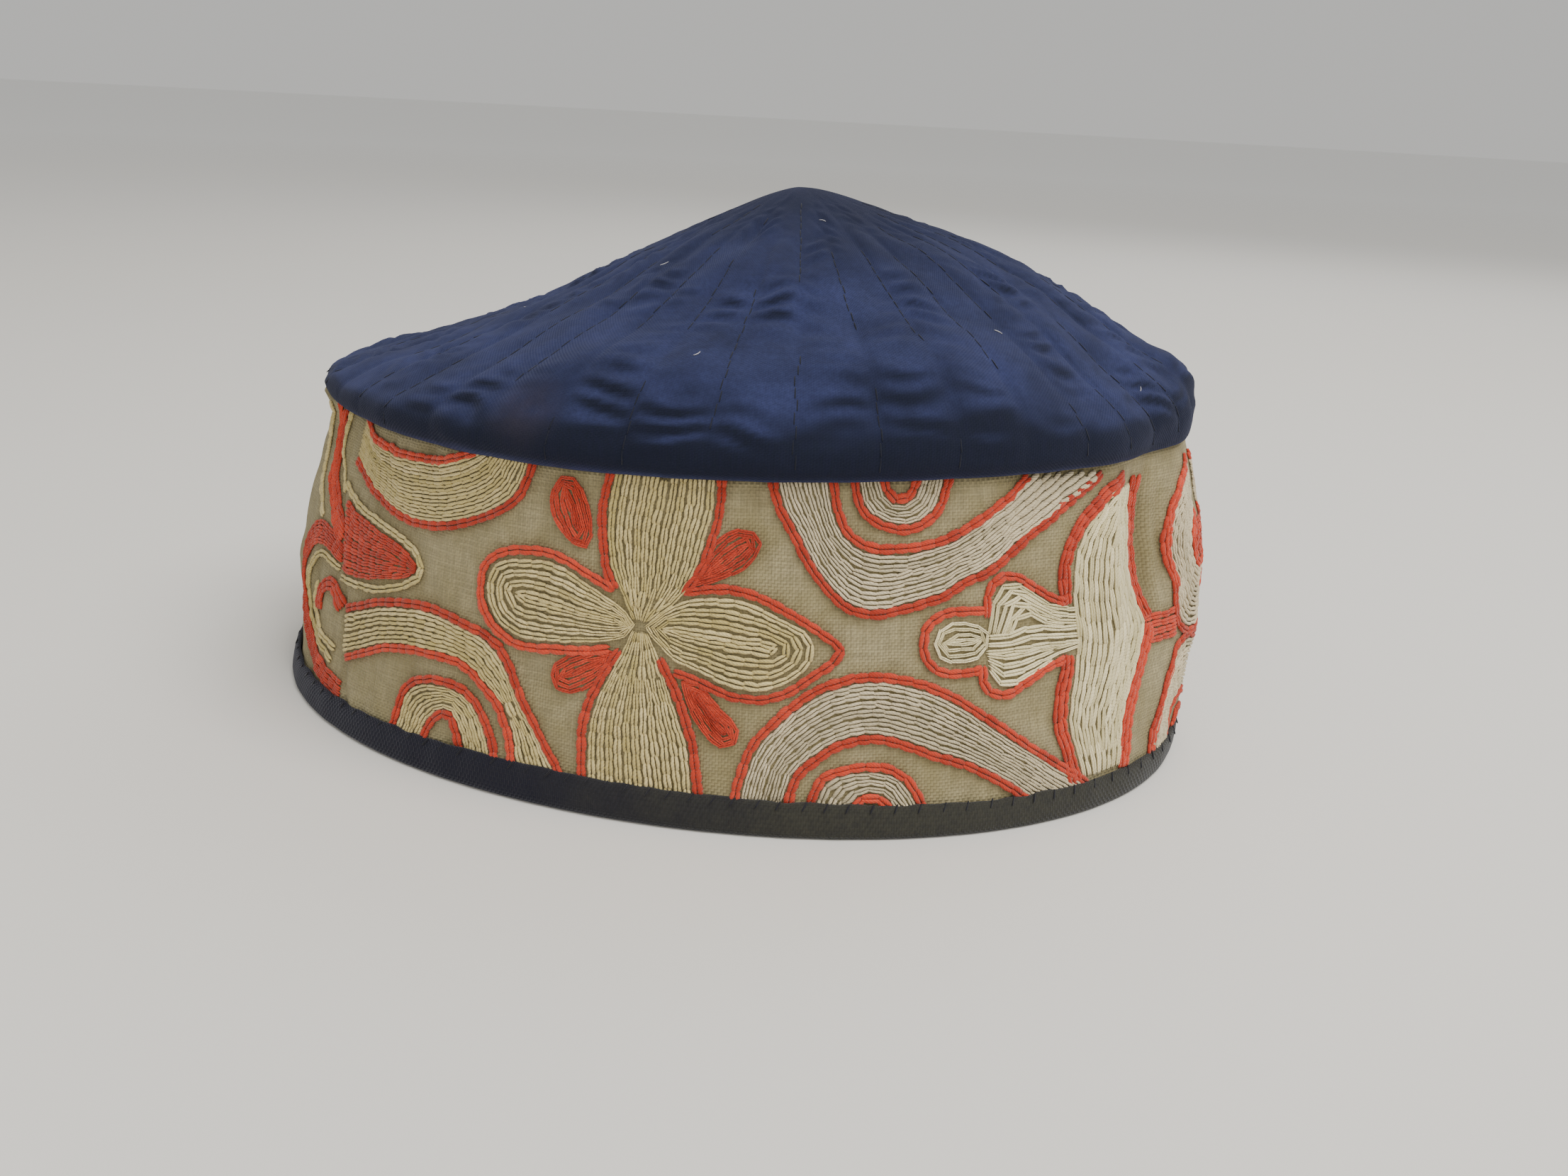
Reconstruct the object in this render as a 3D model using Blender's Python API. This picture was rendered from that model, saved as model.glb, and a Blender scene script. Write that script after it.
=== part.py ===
"""A soft Central Asian skullcap: a tall embroidered band, a quilted crown that rises to a low
point, and a folded binding round the rim. +X runs along the cap's length, from the end where
the band is joined to the end that is pinched, +Z is up, and the rim stands on z = 0."""

import math
from collections import namedtuple

import bmesh
import bpy
import numpy as np
from mathutils import Matrix, Vector

# The rim, measured outside the binding.
RIM_LENGTH = 0.206
RIM_WIDTH = 0.154

# The seam between band and crown, measured outside the band's top edge.
SEAM_LENGTH = 0.1845
SEAM_WIDTH = 0.138
SEAM_HEIGHT = 0.0639
SEAM_TILT = 0.0023
SEAM_SHIFT = 0.0019
SEAM_PINCH = 0.19
RIM_PINCH = -0.02

# The crown.
CROWN_HEIGHT = 0.1120
APEX_SHIFT = 0.0120
APEX_SIDE = 0.0030
ROLL = 0.0040
CROWN_WALL = 0.0026
CHANNELS = 40
CHANNEL_DEPTH = 0.0007
POINT_FADE = 0.12

# The band and its binding.
BAND_WALL = 0.0024
BINDING_HEIGHT = 0.0079
BINDING_INSIDE_HEIGHT = 0.0072
BINDING_TAPER = 0.0026
BINDING_WALL = 0.0012
BINDING_SOLE = 0.0016
BAND_SEAM_TURN = math.radians(224)
BAND_SEAM_DEPTH = 0.0006
DENT_FADE = 0.0150
LEAN_FADE = 0.0180

# What lies against its neighbour keeps this much air.
GAP = 0.0003

# Faces round each piece, and rows up the band.
BAND_FACES = 96
BAND_ROWS = 8
CROWN_FACES_PER_CHANNEL = 3
MERGE = 1e-7

Row = namedtuple("Row", "reach roll rise")
Dent = namedtuple("Dent", "turn spread at tall depth")
Swell = namedtuple("Swell", "turn spread reach wide lift")
Fold = namedtuple("Fold", "offset height tapers")
Tuck = namedtuple("Tuck", "turn spread share")
Lean = namedtuple("Lean", "turn spread out")

# The crown's section from its seam to its point. reach is a share of the seam's half length
# and half width, roll a share of ROLL, and rise a share of the way from seam to point.
CROWN_SECTION = (
    Row(1.000, 0.00, 0.000),
    Row(1.000, 0.62, 0.020),
    Row(1.000, 0.96, 0.060),
    Row(1.000, 0.98, 0.115),
    Row(0.995, 0.66, 0.175),
    Row(0.965, 0.22, 0.235),
    Row(0.905, 0.00, 0.305),
    Row(0.810, 0.00, 0.405),
    Row(0.690, 0.00, 0.525),
    Row(0.550, 0.00, 0.655),
    Row(0.400, 0.00, 0.785),
    Row(0.255, 0.00, 0.885),
    Row(0.130, 0.00, 0.955),
    Row(0.050, 0.00, 0.990),
)

# Where the band is pushed in or out. turn and spread are degrees round the cap, at and tall
# are shares of the band's height, and depth is a share of the rim's width, outwards.
BAND_DENTS = (
    Dent(-17, 5.5, 0.78, 0.30, -0.030),
    Dent(-4, 5.0, 0.62, 0.30, 0.008),
    Dent(13, 17, 0.62, 0.44, 0.056),
    Dent(188, 22, 0.50, 0.50, 0.032),
)

# Where the binding and the band's foot lean out from the floor. out is a share of the rim's
# width, reached at the binding's top.
FOOT_LEANS = (Lean(6, 24, 0.015),)

# Where the crown's roll over the band is held in. share is what it loses of ROLL.
ROLL_TUCKS = (
    Tuck(11, 22, 0.70),
    Tuck(188, 30, 0.30),
)

# Where the crown is fuller or hollow. reach and wide are shares of the crown's radius, and
# lift is a share of the way from seam to point, upwards.
CROWN_SWELLS = (
    Swell(-94, 18, 0.90, 0.12, 0.110),
    Swell(-54, 15, 0.90, 0.12, 0.150),
    Swell(90, 48, 0.90, 0.13, 0.090),
    Swell(0, 60, 0.62, 0.30, 0.095),
    Swell(12, 18, 1.00, 0.11, 0.120),
    Swell(185, 55, 0.58, 0.40, -0.190),
)


def bell(distance, spread):
    """1 at no distance, falling smoothly to nothing a few spreads away."""
    return math.exp(-((distance / spread) ** 2))


def turn_between(turn, other):
    """The smaller angle between two directions round the cap, in radians."""
    return math.remainder(turn - other, 2 * math.pi)


def seam_height(turn):
    """The height of the seam between band and crown."""
    return SEAM_HEIGHT + SEAM_TILT * math.cos(turn)


def oval(turn, half_length, half_width, pinch):
    """A point on an oval whose ends are drawn in, as a cap that is stored folded keeps."""
    across = 1 - pinch * math.cos(turn) ** 2
    return Vector((half_length * math.cos(turn), half_width * math.sin(turn) * across, 0))


def outward(turn, half_length, half_width):
    """The level direction that points out of the oval."""
    return Vector((math.cos(turn) / half_length, math.sin(turn) / half_width, 0)).normalized()


def foot_lean(turn, height):
    """How far the band's foot leans out: evenly within the binding, and fading above it."""
    lean = 0.0
    for row in FOOT_LEANS:
        round_it = bell(turn_between(turn, math.radians(row.turn)), math.radians(row.spread))
        lean += RIM_WIDTH * row.out * round_it
    above = max(0.0, height - BINDING_HEIGHT)
    return lean * min(1.0, height / BINDING_HEIGHT) * bell(above, LEAN_FADE)


def band_push(turn, share):
    """How far the band's dents push it out at a share of its height."""
    push = 0.0
    for dent in BAND_DENTS:
        round_it = bell(turn_between(turn, math.radians(dent.turn)), math.radians(dent.spread))
        push += RIM_WIDTH * dent.depth * round_it * bell(share - dent.at, dent.tall)
    seam = bell(turn_between(turn, BAND_SEAM_TURN), math.pi / BAND_FACES)
    climbed = (share * seam_height(turn) - BINDING_HEIGHT) / DENT_FADE
    free = min(1.0, max(0.0, climbed))
    return (push - BAND_SEAM_DEPTH * seam) * free**2 * (3 - 2 * free)


def band_point(turn, height, offset=0.0):
    """A point on the band's outer face, or offset out from it, at a height over the floor."""
    share = height / seam_height(turn)
    rim_out = GAP + BINDING_WALL
    half_length = (RIM_LENGTH / 2 - rim_out) * (1 - share) + SEAM_LENGTH / 2 * share
    half_width = (RIM_WIDTH / 2 - rim_out) * (1 - share) + SEAM_WIDTH / 2 * share
    pinch = RIM_PINCH * (1 - share) + SEAM_PINCH * share
    level = oval(turn, half_length, half_width, pinch)
    push = offset + band_push(turn, share) + foot_lean(turn, height)
    place = level + outward(turn, half_length, half_width) * push
    return place + Vector((SEAM_SHIFT * share, 0, height))


def crown_lift(turn, reach):
    """How far the crown's swells lift it, as a share of the way from seam to point."""
    lift = 0.0
    for swell in CROWN_SWELLS:
        round_it = bell(turn_between(turn, math.radians(swell.turn)), math.radians(swell.spread))
        lift += swell.lift * round_it * bell(reach - swell.reach, swell.wide)
    return lift * min(1.0, reach / POINT_FADE)


def crown_roll(turn):
    """How far the crown rolls out over the band."""
    kept = 1.0
    for tuck in ROLL_TUCKS:
        round_it = bell(turn_between(turn, math.radians(tuck.turn)), math.radians(tuck.spread))
        kept -= tuck.share * round_it
    return ROLL * kept


def crown_point(turn, reach, roll, rise):
    """A point of the crown's section, turned to its place round the cap."""
    foot = seam_height(turn) + GAP
    half_length = SEAM_LENGTH / 2 * reach
    half_width = SEAM_WIDTH / 2 * reach
    level = oval(turn, half_length, half_width, SEAM_PINCH * reach)
    if reach > 0:
        push = roll * crown_roll(turn) + band_push(turn, 1.0) * reach
        level += outward(turn, half_length, half_width) * push
    middle = Vector((SEAM_SHIFT * reach + APEX_SHIFT * (1 - reach), APEX_SIDE * (1 - reach), 0))
    share = rise + crown_lift(turn, reach) * min(1.0, rise / CROWN_SECTION[5].rise)
    return level + middle + Vector((0, 0, foot + share * (CROWN_HEIGHT - foot)))


def section_normals(points):
    """The outward direction at each point of a section that runs from the seam to the point."""
    normals = []
    for index, _ in enumerate(points):
        before = points[max(index - 1, 0)]
        after = points[min(index + 1, len(points) - 1)]
        along = (after - before).normalized()
        level = Vector((points[0].x, points[0].y, 0)).normalized()
        side = Vector((-level.y, level.x, 0))
        normals.append(side.cross(along).normalized())
    return normals


def material(name, colour, roughness):
    """A plain cloth finish."""
    made = bpy.data.materials.new(name)
    made.use_nodes = True
    shader = made.node_tree.nodes["Principled BSDF"]
    shader.inputs["Base Color"].default_value = (*colour, 1.0)
    shader.inputs["Roughness"].default_value = roughness
    shader.inputs["Metallic"].default_value = 0.0
    return made


def node(name, bm, finish):
    """Makes a named object from a mesh under construction."""
    bmesh.ops.remove_doubles(bm, verts=bm.verts, dist=MERGE)
    bmesh.ops.recalc_face_normals(bm, faces=bm.faces)
    mesh = bpy.data.meshes.new(name)
    bm.to_mesh(mesh)
    bm.free()
    mesh.shade_smooth()
    mesh.set_sharp_from_angle(angle=math.radians(40))
    mesh.materials.append(finish)
    made = bpy.data.objects.new(name, mesh)
    bpy.context.scene.collection.objects.link(made)
    return made


def loft(rings, closed):
    """Joins rings of points, each to the next, and the last to the first if closed."""
    bm = bmesh.new()
    loops = [[bm.verts.new(point) for point in ring] for ring in rings]
    following = loops[1:] + loops[:1] if closed else loops[1:]
    for lower, upper in zip(loops, following):
        for i, vert in enumerate(lower):
            bm.faces.new((lower[i - 1], vert, upper[i], upper[i - 1]))
    return bm, loops


def ring_of(point_at, faces):
    """Points all the way round, as point_at gives them for each direction."""
    return [point_at(2 * math.pi * i / faces) for i in range(faces)]


def make_band(finish):
    """The embroidered strip, standing in the binding and carrying the crown."""
    bottom = BINDING_SOLE + GAP
    shares = np.linspace(0.0, 1.0, BAND_ROWS)

    def height(turn, share):
        return BINDING_HEIGHT + (seam_height(turn) - BINDING_HEIGHT) * share

    def outside_and_in(offset):
        foot = ring_of(lambda turn: band_point(turn, bottom, offset), BAND_FACES)
        free = [
            ring_of(lambda turn: band_point(turn, height(turn, share), offset), BAND_FACES)
            for share in shares
        ]
        return [foot, *free]

    rings = outside_and_in(0.0) + outside_and_in(-BAND_WALL)[::-1]
    bm, _ = loft(rings, closed=True)
    return node("band", bm, finish)


def make_binding(finish):
    """The cloth folded round the band's lower edge, with a leg on each side of it."""
    near = GAP
    far = GAP + BINDING_WALL
    inside_near = -BAND_WALL - near
    inside_far = -BAND_WALL - far
    fold = BINDING_WALL * 0.6
    outside = BINDING_HEIGHT
    inside = BINDING_INSIDE_HEIGHT
    profile = (
        Fold(far - fold, 0.0, 0),
        Fold(far - fold * 0.3, fold * 0.3, 0),
        Fold(far, fold * 1.2, 0),
        Fold(far, outside - fold, 1),
        Fold((near + far) / 2, outside, 1),
        Fold(near, outside - fold / 2, 1),
        Fold(near, BINDING_SOLE, 0),
        Fold(inside_near, BINDING_SOLE, 0),
        Fold(inside_near, inside - fold / 2, 1),
        Fold((inside_near + inside_far) / 2, inside, 1),
        Fold(inside_far, inside - fold, 1),
        Fold(inside_far, fold * 1.2, 0),
        Fold(inside_far + fold * 0.3, fold * 0.3, 0),
        Fold(inside_far + fold, 0.0, 0),
    )

    def place(turn, row):
        narrowed = ((1 + math.cos(turn)) / 2) ** 2
        height = row.height - row.tapers * BINDING_TAPER * narrowed
        return band_point(turn, height, row.offset)

    rings = [ring_of(lambda turn: place(turn, row), BAND_FACES) for row in profile]
    bm, _ = loft(rings, closed=True)
    return node("rim_binding", bm, finish)


def make_crown(finish):
    """The quilted crown: a hollow cloth shell with stitched channels that run to its point."""
    faces = CHANNELS * CROWN_FACES_PER_CHANNEL

    def outer(turn):
        points = [crown_point(turn, *row) for row in CROWN_SECTION]
        stitched = round(turn / (2 * math.pi) * faces) % CROWN_FACES_PER_CHANNEL == 0
        normals = section_normals(points)
        for index, normal in enumerate(normals):
            row = CROWN_SECTION[index]
            if stitched and index > 1:
                points[index] = points[index] - normal * CHANNEL_DEPTH * min(1.0, 4 * row.reach)
        return points

    def inner(turn):
        points = [crown_point(turn, *row) for row in CROWN_SECTION]
        normals = section_normals(points)
        inside = []
        for index in range(2, len(points), 2):
            inside.append(points[index] - normals[index] * CROWN_WALL)
        foot = band_point(turn, seam_height(turn), -BAND_WALL) + Vector((0, 0, GAP))
        return [foot, *inside]

    turns = [2 * math.pi * i / faces for i in range(faces)]
    outside = [outer(turn) for turn in turns]
    inside = [inner(turn) for turn in turns]
    rings = [list(ring) for ring in zip(*outside)][::-1] + [list(ring) for ring in zip(*inside)]
    bm, loops = loft(rings, closed=False)
    top = Vector((APEX_SHIFT, APEX_SIDE, CROWN_HEIGHT))
    for verts, drop in ((loops[0], 0.0), (loops[-1], CROWN_WALL)):
        point = bm.verts.new(top - Vector((0, 0, drop)))
        for i, vert in enumerate(verts):
            bm.faces.new((verts[i - 1], vert, point))
    return node("crown", bm, finish)


def centre(nodes):
    """Moves the cap level, so that the box round it is centred over the origin."""
    spots = [vert.co for each in nodes for vert in each.data.vertices]
    middle = Vector((0, 0, 0))
    for axis in (0, 1):
        middle[axis] = (min(s[axis] for s in spots) + max(s[axis] for s in spots)) / 2
    for each in nodes:
        each.data.transform(Matrix.Translation(-middle))


def main():
    for thing in list(bpy.data.objects):
        bpy.data.objects.remove(thing)
    band = make_band(material("band_cloth", (0.36, 0.31, 0.22), 0.9))
    crown = make_crown(material("crown_cloth", (0.030, 0.040, 0.105), 0.85))
    binding = make_binding(material("binding_cloth", (0.020, 0.020, 0.030), 0.85))
    centre((band, crown, binding))


main()
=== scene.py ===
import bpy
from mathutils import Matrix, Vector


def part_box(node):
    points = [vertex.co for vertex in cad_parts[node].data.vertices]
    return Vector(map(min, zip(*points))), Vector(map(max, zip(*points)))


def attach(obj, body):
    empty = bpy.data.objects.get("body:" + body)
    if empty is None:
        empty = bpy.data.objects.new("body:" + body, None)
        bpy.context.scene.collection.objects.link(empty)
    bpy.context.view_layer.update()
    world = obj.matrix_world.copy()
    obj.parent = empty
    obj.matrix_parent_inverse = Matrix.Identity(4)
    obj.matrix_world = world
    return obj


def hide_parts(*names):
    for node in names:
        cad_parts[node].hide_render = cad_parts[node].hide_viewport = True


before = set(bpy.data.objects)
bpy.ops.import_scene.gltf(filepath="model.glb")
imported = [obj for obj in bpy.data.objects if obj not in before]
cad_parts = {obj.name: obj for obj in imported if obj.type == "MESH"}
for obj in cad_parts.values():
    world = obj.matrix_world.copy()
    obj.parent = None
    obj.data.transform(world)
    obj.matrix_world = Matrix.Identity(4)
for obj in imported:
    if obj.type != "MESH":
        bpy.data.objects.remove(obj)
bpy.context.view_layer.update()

import math
from collections import namedtuple

import bmesh
import bpy
import numpy as np
from bpy.props import FloatProperty, FloatVectorProperty, IntProperty, PointerProperty
from mathutils import Matrix, Vector
from mathutils.bvhtree import BVHTree
from mathutils.kdtree import KDTree

bl_info = {
    "name": "Embroidered skullcap",
    "version": (1, 0, 0),
    "blender": (4, 5, 0),
    "location": "3D View > Sidebar > Skullcap",
    "description": "A soft skullcap with a chain-stitched band and a quilted crown",
    "category": "Add Mesh",
}

MM = 0.001
FRONT = -math.pi / 2
LEVEL = 0.035


# Charts of the embroidery, in millimetres round the band and up it. Round is measured at
# LEVEL from the middle of the front, and grows to the right.

# Rows between two edges, with a coral row along each edge.
Strip = namedtuple("Strip", "thread outer inner")
# Rows that run from end to end between two edges.
Fill = namedtuple("Fill", "thread first last")
# Rows that go round within an edge and close in on a spine.
Ring = namedtuple("Ring", "thread rows edge spine")
# One row, or a few side by side.
Line = namedtuple("Line", "thread points rows", defaults=(1,))
# A group of motifs, set round the band.
Place = namedtuple("Place", "group round")

# How a thread lies: the thickness and the bow of a strand, in stitch widths, and then the
# length of its stitches, the pitch of its filled rows and the width of its lines, each against
# the usual one.
Lie = namedtuple("Lie", "thick bow length pitch line")
LIES = {
    "cream": Lie(0.40, 0.10, 1.0, 1.0, 1.10),
    "ivory": Lie(0.35, 0.05, 1.5, 0.85, 1.0),
    "pale": Lie(0.40, 0.10, 1.0, 1.0, 1.0),
    "coral": Lie(0.48, 0.10, 1.0, 0.85, 1.15),
}


def arc(middle, up, radius, start, stop):
    """Points along part of a circle on the chart, between two angles in degrees."""
    return tuple(
        (middle + radius * math.cos(math.radians(a)), up + radius * math.sin(math.radians(a)))
        for a in np.linspace(start, stop, 13)
    )


FLOWER = (
    Fill("cream",
         ((-1.2, 66), (-2.8, 57), (-2, 50), (-0.8, 46.5), (0.6, 43.6), (3.4, 38.8)),
         ((17, 66), (16.8, 59.5), (15.7, 55.5), (14.8, 51.5), (13.4, 47), (11.4, 43.4), (5.8, 38.8))),
    Fill("cream",
         ((3.4, 36.2), (1.9, 32.5), (-0.2, 28.5), (-2.5, 23.5), (-4, 18.5), (-4.3, 14), (-3.7, 5)),
         ((5.6, 36.2), (7.4, 32.5), (8.8, 29), (10.6, 24.5), (12.4, 19.5), (14, 14.6), (15.4, 5))),
    Ring("cream", 4,
         ((-28.3, 40.6), (-27.3, 43.4), (-24.5, 45.3), (-18, 46.5), (-12, 46.4), (-4, 43), (1.2, 40),
          (3.4, 37.6), (1.4, 35), (-3, 33.4), (-7, 32.8), (-12.5, 32), (-20, 31.6), (-25.5, 34),
          (-27.8, 37.2)),
         ((-20.5, 39.2), (1.5, 37.6))),
    Ring("cream", 4,
         ((5.4, 37.6), (8, 40), (12.6, 43), (17, 44), (21, 44.2), (25.7, 43), (30.6, 40.8),
          (34.6, 38.8), (36.4, 35.6), (35.2, 31.9), (31.5, 29), (26.3, 27.4), (21.3, 28), (16, 30),
          (11, 32), (7.4, 35)),
         ((9, 37.4), (29, 35.2))),
    Line("coral", ((-2.4, 66), (-4.2, 57.5), (-3.4, 50), (-2.2, 46), (-0.6, 43.8))),
    Line("coral", ((18.4, 66), (18.2, 59.5), (17.1, 55), (16, 51), (14.2, 47), (12.4, 44.4))),
    Line("coral",
         ((-1, 43.8), (-5, 45.2), (-12, 48), (-18.5, 48.2), (-25, 46.8), (-29, 43.9), (-30.1, 40.4),
          (-29.4, 36.5), (-26.6, 32.9), (-20.5, 30), (-12.5, 30.5), (-6.5, 31.3), (-1.5, 32))),
    Line("coral",
         ((12.2, 44.4), (16.5, 45.5), (21.3, 45.8), (26.3, 44.6), (31.4, 42.2), (36, 39.5),
          (41.3, 35.3), (37.2, 31.5), (32.2, 27.5), (26.4, 25.8), (20.8, 26.5), (15.4, 28.4),
          (11.2, 29.8))),
    Line("coral",
         ((0.4, 32.2), (-1.6, 28.8), (-4, 23.8), (-5.5, 18.6), (-5.8, 14), (-5.2, 5))),
    Line("coral",
         ((8.6, 32), (10, 29.2), (12, 25), (13.9, 19.8), (15.4, 14.8), (16.9, 5))),
    Ring("coral", 4,
         ((-13.3, 62.6), (-15.5, 58.3), (-13.8, 54.2), (-10.4, 51.3), (-6.6, 50.6), (-5.9, 54),
          (-7.5, 59.5), (-10, 62.8)),
         ((-11.8, 60.4), (-8.4, 53))),
    Ring("coral", 4,
         ((13.8, 45.8), (16.4, 52), (18.6, 55.4), (22.6, 57), (25.8, 55.4), (25.6, 52.4), (23, 49.5),
          (19, 47.6)),
         ((16.4, 48.4), (23.4, 54.2))),
    Ring("coral", 4,
         ((-0.6, 31.8), (-5.5, 31.6), (-11, 29), (-12.6, 25.5), (-10.5, 22.5), (-7, 23.3),
          (-3.6, 25.5), (-1.3, 28.6)),
         ((-10, 25.6), (-2.8, 30))),
    Ring("coral", 4,
         ((12.6, 28.2), (16, 27.7), (20, 23.5), (23, 20.8), (23, 17.8), (21.4, 16), (19, 16.8),
          (15.4, 20.5), (13.6, 24.5)),
         ((14.6, 26.2), (21.4, 18.2))),
)

WAVES = (
    Strip("pale",
          ((27.5, 66), (29, 61), (31.5, 57), (34.5, 51.5), (38.2, 46.7), (41.3, 43.6), (45, 42.2),
           (50, 42.4), (55, 43.4), (60.5, 45), (66, 47.7), (70.5, 49.3), (75, 52), (79.3, 55),
           (83.7, 57.7), (87.3, 60), (98.5, 65)),
          ((38.5, 67), (40, 60.8), (41.5, 57.3), (44, 55), (47, 54), (52.5, 54), (57.7, 54.6),
           (63.2, 56), (69, 59.3), (74, 62), (79.5, 66))),
    Strip("pale",
          ((42.6, 67), (44.2, 61.7), (46.6, 59), (49.7, 57.7), (54, 57.4), (57.8, 58.8),
           (60.6, 61.6), (62.2, 67)),
          ((48.6, 67), (49.6, 63.8), (52, 62.6), (54.2, 63.8), (55.4, 67))),
    Strip("pale",
          ((22.4, 4), (24.2, 12.8), (26.5, 18), (30.8, 23.2), (34.5, 26.3), (38.7, 29), (42.8, 30.3),
           (47.5, 30.6), (52.6, 29.8), (57.8, 28.5), (63, 25.8), (67.4, 22.9), (71.6, 19.8),
           (75.6, 16.6), (79.7, 13.8), (83.4, 11), (91, 5.5)),
          ((32, 4), (33.5, 11), (36, 14), (40, 17.3), (43.8, 18.7), (48.6, 18.7), (53.7, 17.4),
           (58.7, 15.3), (64, 13.3), (68, 11.2), (72.4, 8.4), (78, 4))),
    Strip("pale",
          ((35.6, 4), (38, 11.2), (41.4, 13), (46.2, 13.7), (51, 12.8), (54, 10.4), (57.2, 4)),
          ((42.6, 3), (44.6, 7), (47, 7.8), (49.4, 7), (51.4, 3))),
)

TRIDENT = (
    Ring("ivory", 4,
         ((58.4, 36.4), (59.6, 39), (62, 40.2), (65.6, 40.1), (68.6, 38.8), (70, 36.6), (68.7, 33.6),
          (65.4, 32.4), (61.6, 32.4), (59.2, 33.9)),
         ((61.4, 36.4), (68, 36.3))),
    Fill("ivory",
         ((69.8, 37.8), (70.2, 42), (71.4, 45.4), (73.8, 47), (77, 46), (80.4, 43.8), (84.6, 41.2),
          (90, 40)),
         ((74, 37.4), (75, 38.8), (76.6, 40.6), (78.4, 40.9), (80, 39.6), (82, 38.4), (86, 37.6),
          (90, 37.2))),
    Fill("ivory",
         ((70, 37.2), (75, 37.6), (79, 38.6), (82, 38), (86, 37.4), (90, 37)),
         ((69.8, 33.8), (75, 33.6), (80, 33.8), (85, 33.8), (90, 33.6))),
    Fill("ivory",
         ((69.8, 33.6), (74, 33.4), (79, 33.6), (84.5, 33.6), (90, 33.4)),
         ((70, 30.4), (71.2, 28), (73.4, 27.2), (76.4, 27.8), (80.4, 29.8), (85, 31.8), (90, 33))),
    Fill("ivory",
         ((103.4, 61.5), (98.2, 58.6), (93.6, 55), (90.4, 50), (89.4, 44.5), (89.6, 40), (89.8, 33.5),
          (89.4, 29.6), (88, 23.5), (87.2, 18.7), (88, 15), (90.2, 7)),
         ((110.8, 60.8), (110.2, 55), (109.9, 49), (110.2, 43.4), (111.6, 37.8), (113.2, 32),
          (111, 28.6), (107.6, 25), (104.6, 20.6), (101.6, 15.6), (99.8, 7))),
    Line("coral",
         ((69.4, 42), (64.6, 42.2), (60, 41.6), (57, 38.9), (56.4, 36.2), (57.2, 33.2), (60, 30.9),
          (64.4, 30.4), (68.3, 31))),
    Line("coral",
         ((69, 41), (69.4, 44.4), (71, 47.4), (73.6, 48.2), (77, 47.2), (80.8, 45), (84, 43),
          (87, 42))),
    Line("coral",
         ((68.4, 31.4), (68.2, 28.4), (70, 26.3), (73.6, 25.8), (77.4, 27.4), (82, 29.6), (86.6, 31))),
    Line("coral",
         ((106.4, 63.6), (101.4, 61.7), (96.4, 59.2), (91.2, 55.5), (87.6, 50.5), (87, 45),
          (87.3, 41.4)), 2),
    Line("coral",
         ((87.3, 31.4), (87, 28.4), (85.6, 23.6), (84.9, 18.7), (85.9, 14), (88, 6)), 2),
    Fill("coral",
         ((111.6, 62.6), (111.4, 57.5), (110.6, 53), (110.4, 48), (110.8, 43), (112.2, 37.8),
          (113.8, 33)),
         ((115, 62.2), (114, 57.5), (113, 53), (112.8, 48), (113.2, 43), (114.8, 37.8),
          (116.6, 34))),
    Line("coral",
         ((114.6, 32), (112.4, 28.2), (109.4, 24.6), (106.5, 20.6), (103.8, 16), (102.2, 11),
          (101.6, 6)), 2),
    Fill("coral", ((113.6, 33.6), (124.4, 34)), ((113.6, 28.6), (124.8, 28))),
)

MEDALLIONS = (
    Strip("pale",
          ((134, 64), (130, 60), (126, 56.6), (123.4, 53), (122.4, 48), (122.6, 43), (123.8, 38.4),
           (124.6, 33.5), (126.6, 29.4), (131, 27.2), (137.4, 27.4), (143.4, 31), (148, 37),
           (149.8, 45), (148.6, 53), (145, 59), (140, 63.6)),
          arc(138.5, 46.5, 6.2, 110, 428)),
    Line("coral", ((131, 61.4), (126.8, 57.2), (124.2, 53), (123.3, 48), (123.5, 43), (124.7, 38.4))),
    Ring("coral", 3, arc(138.5, 46.5, 4.2, 0, 330), ((137.4, 46.5), (139.6, 46.5))),
    Strip("pale",
          ((111.8, 4), (112, 9), (113.8, 12), (116.5, 15.4), (119.3, 19), (122, 22.4), (125, 25.4),
           (130, 26.6), (136, 25.4), (141.4, 22.6), (145.8, 18), (148.4, 12), (149.4, 4)),
          arc(131.6, 5, 8.4, 186, -6)),
    Line("coral", ((112.8, 5), (113, 9), (114.8, 11.6), (117.4, 14.8), (120.2, 18.4), (123, 21.8))),
    Ring("coral", 3, ((128.2, 5), (129.2, 9.4), (131.6, 11), (134, 9.4), (135, 5)),
         ((130.6, 6), (132.6, 6))),
)

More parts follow.
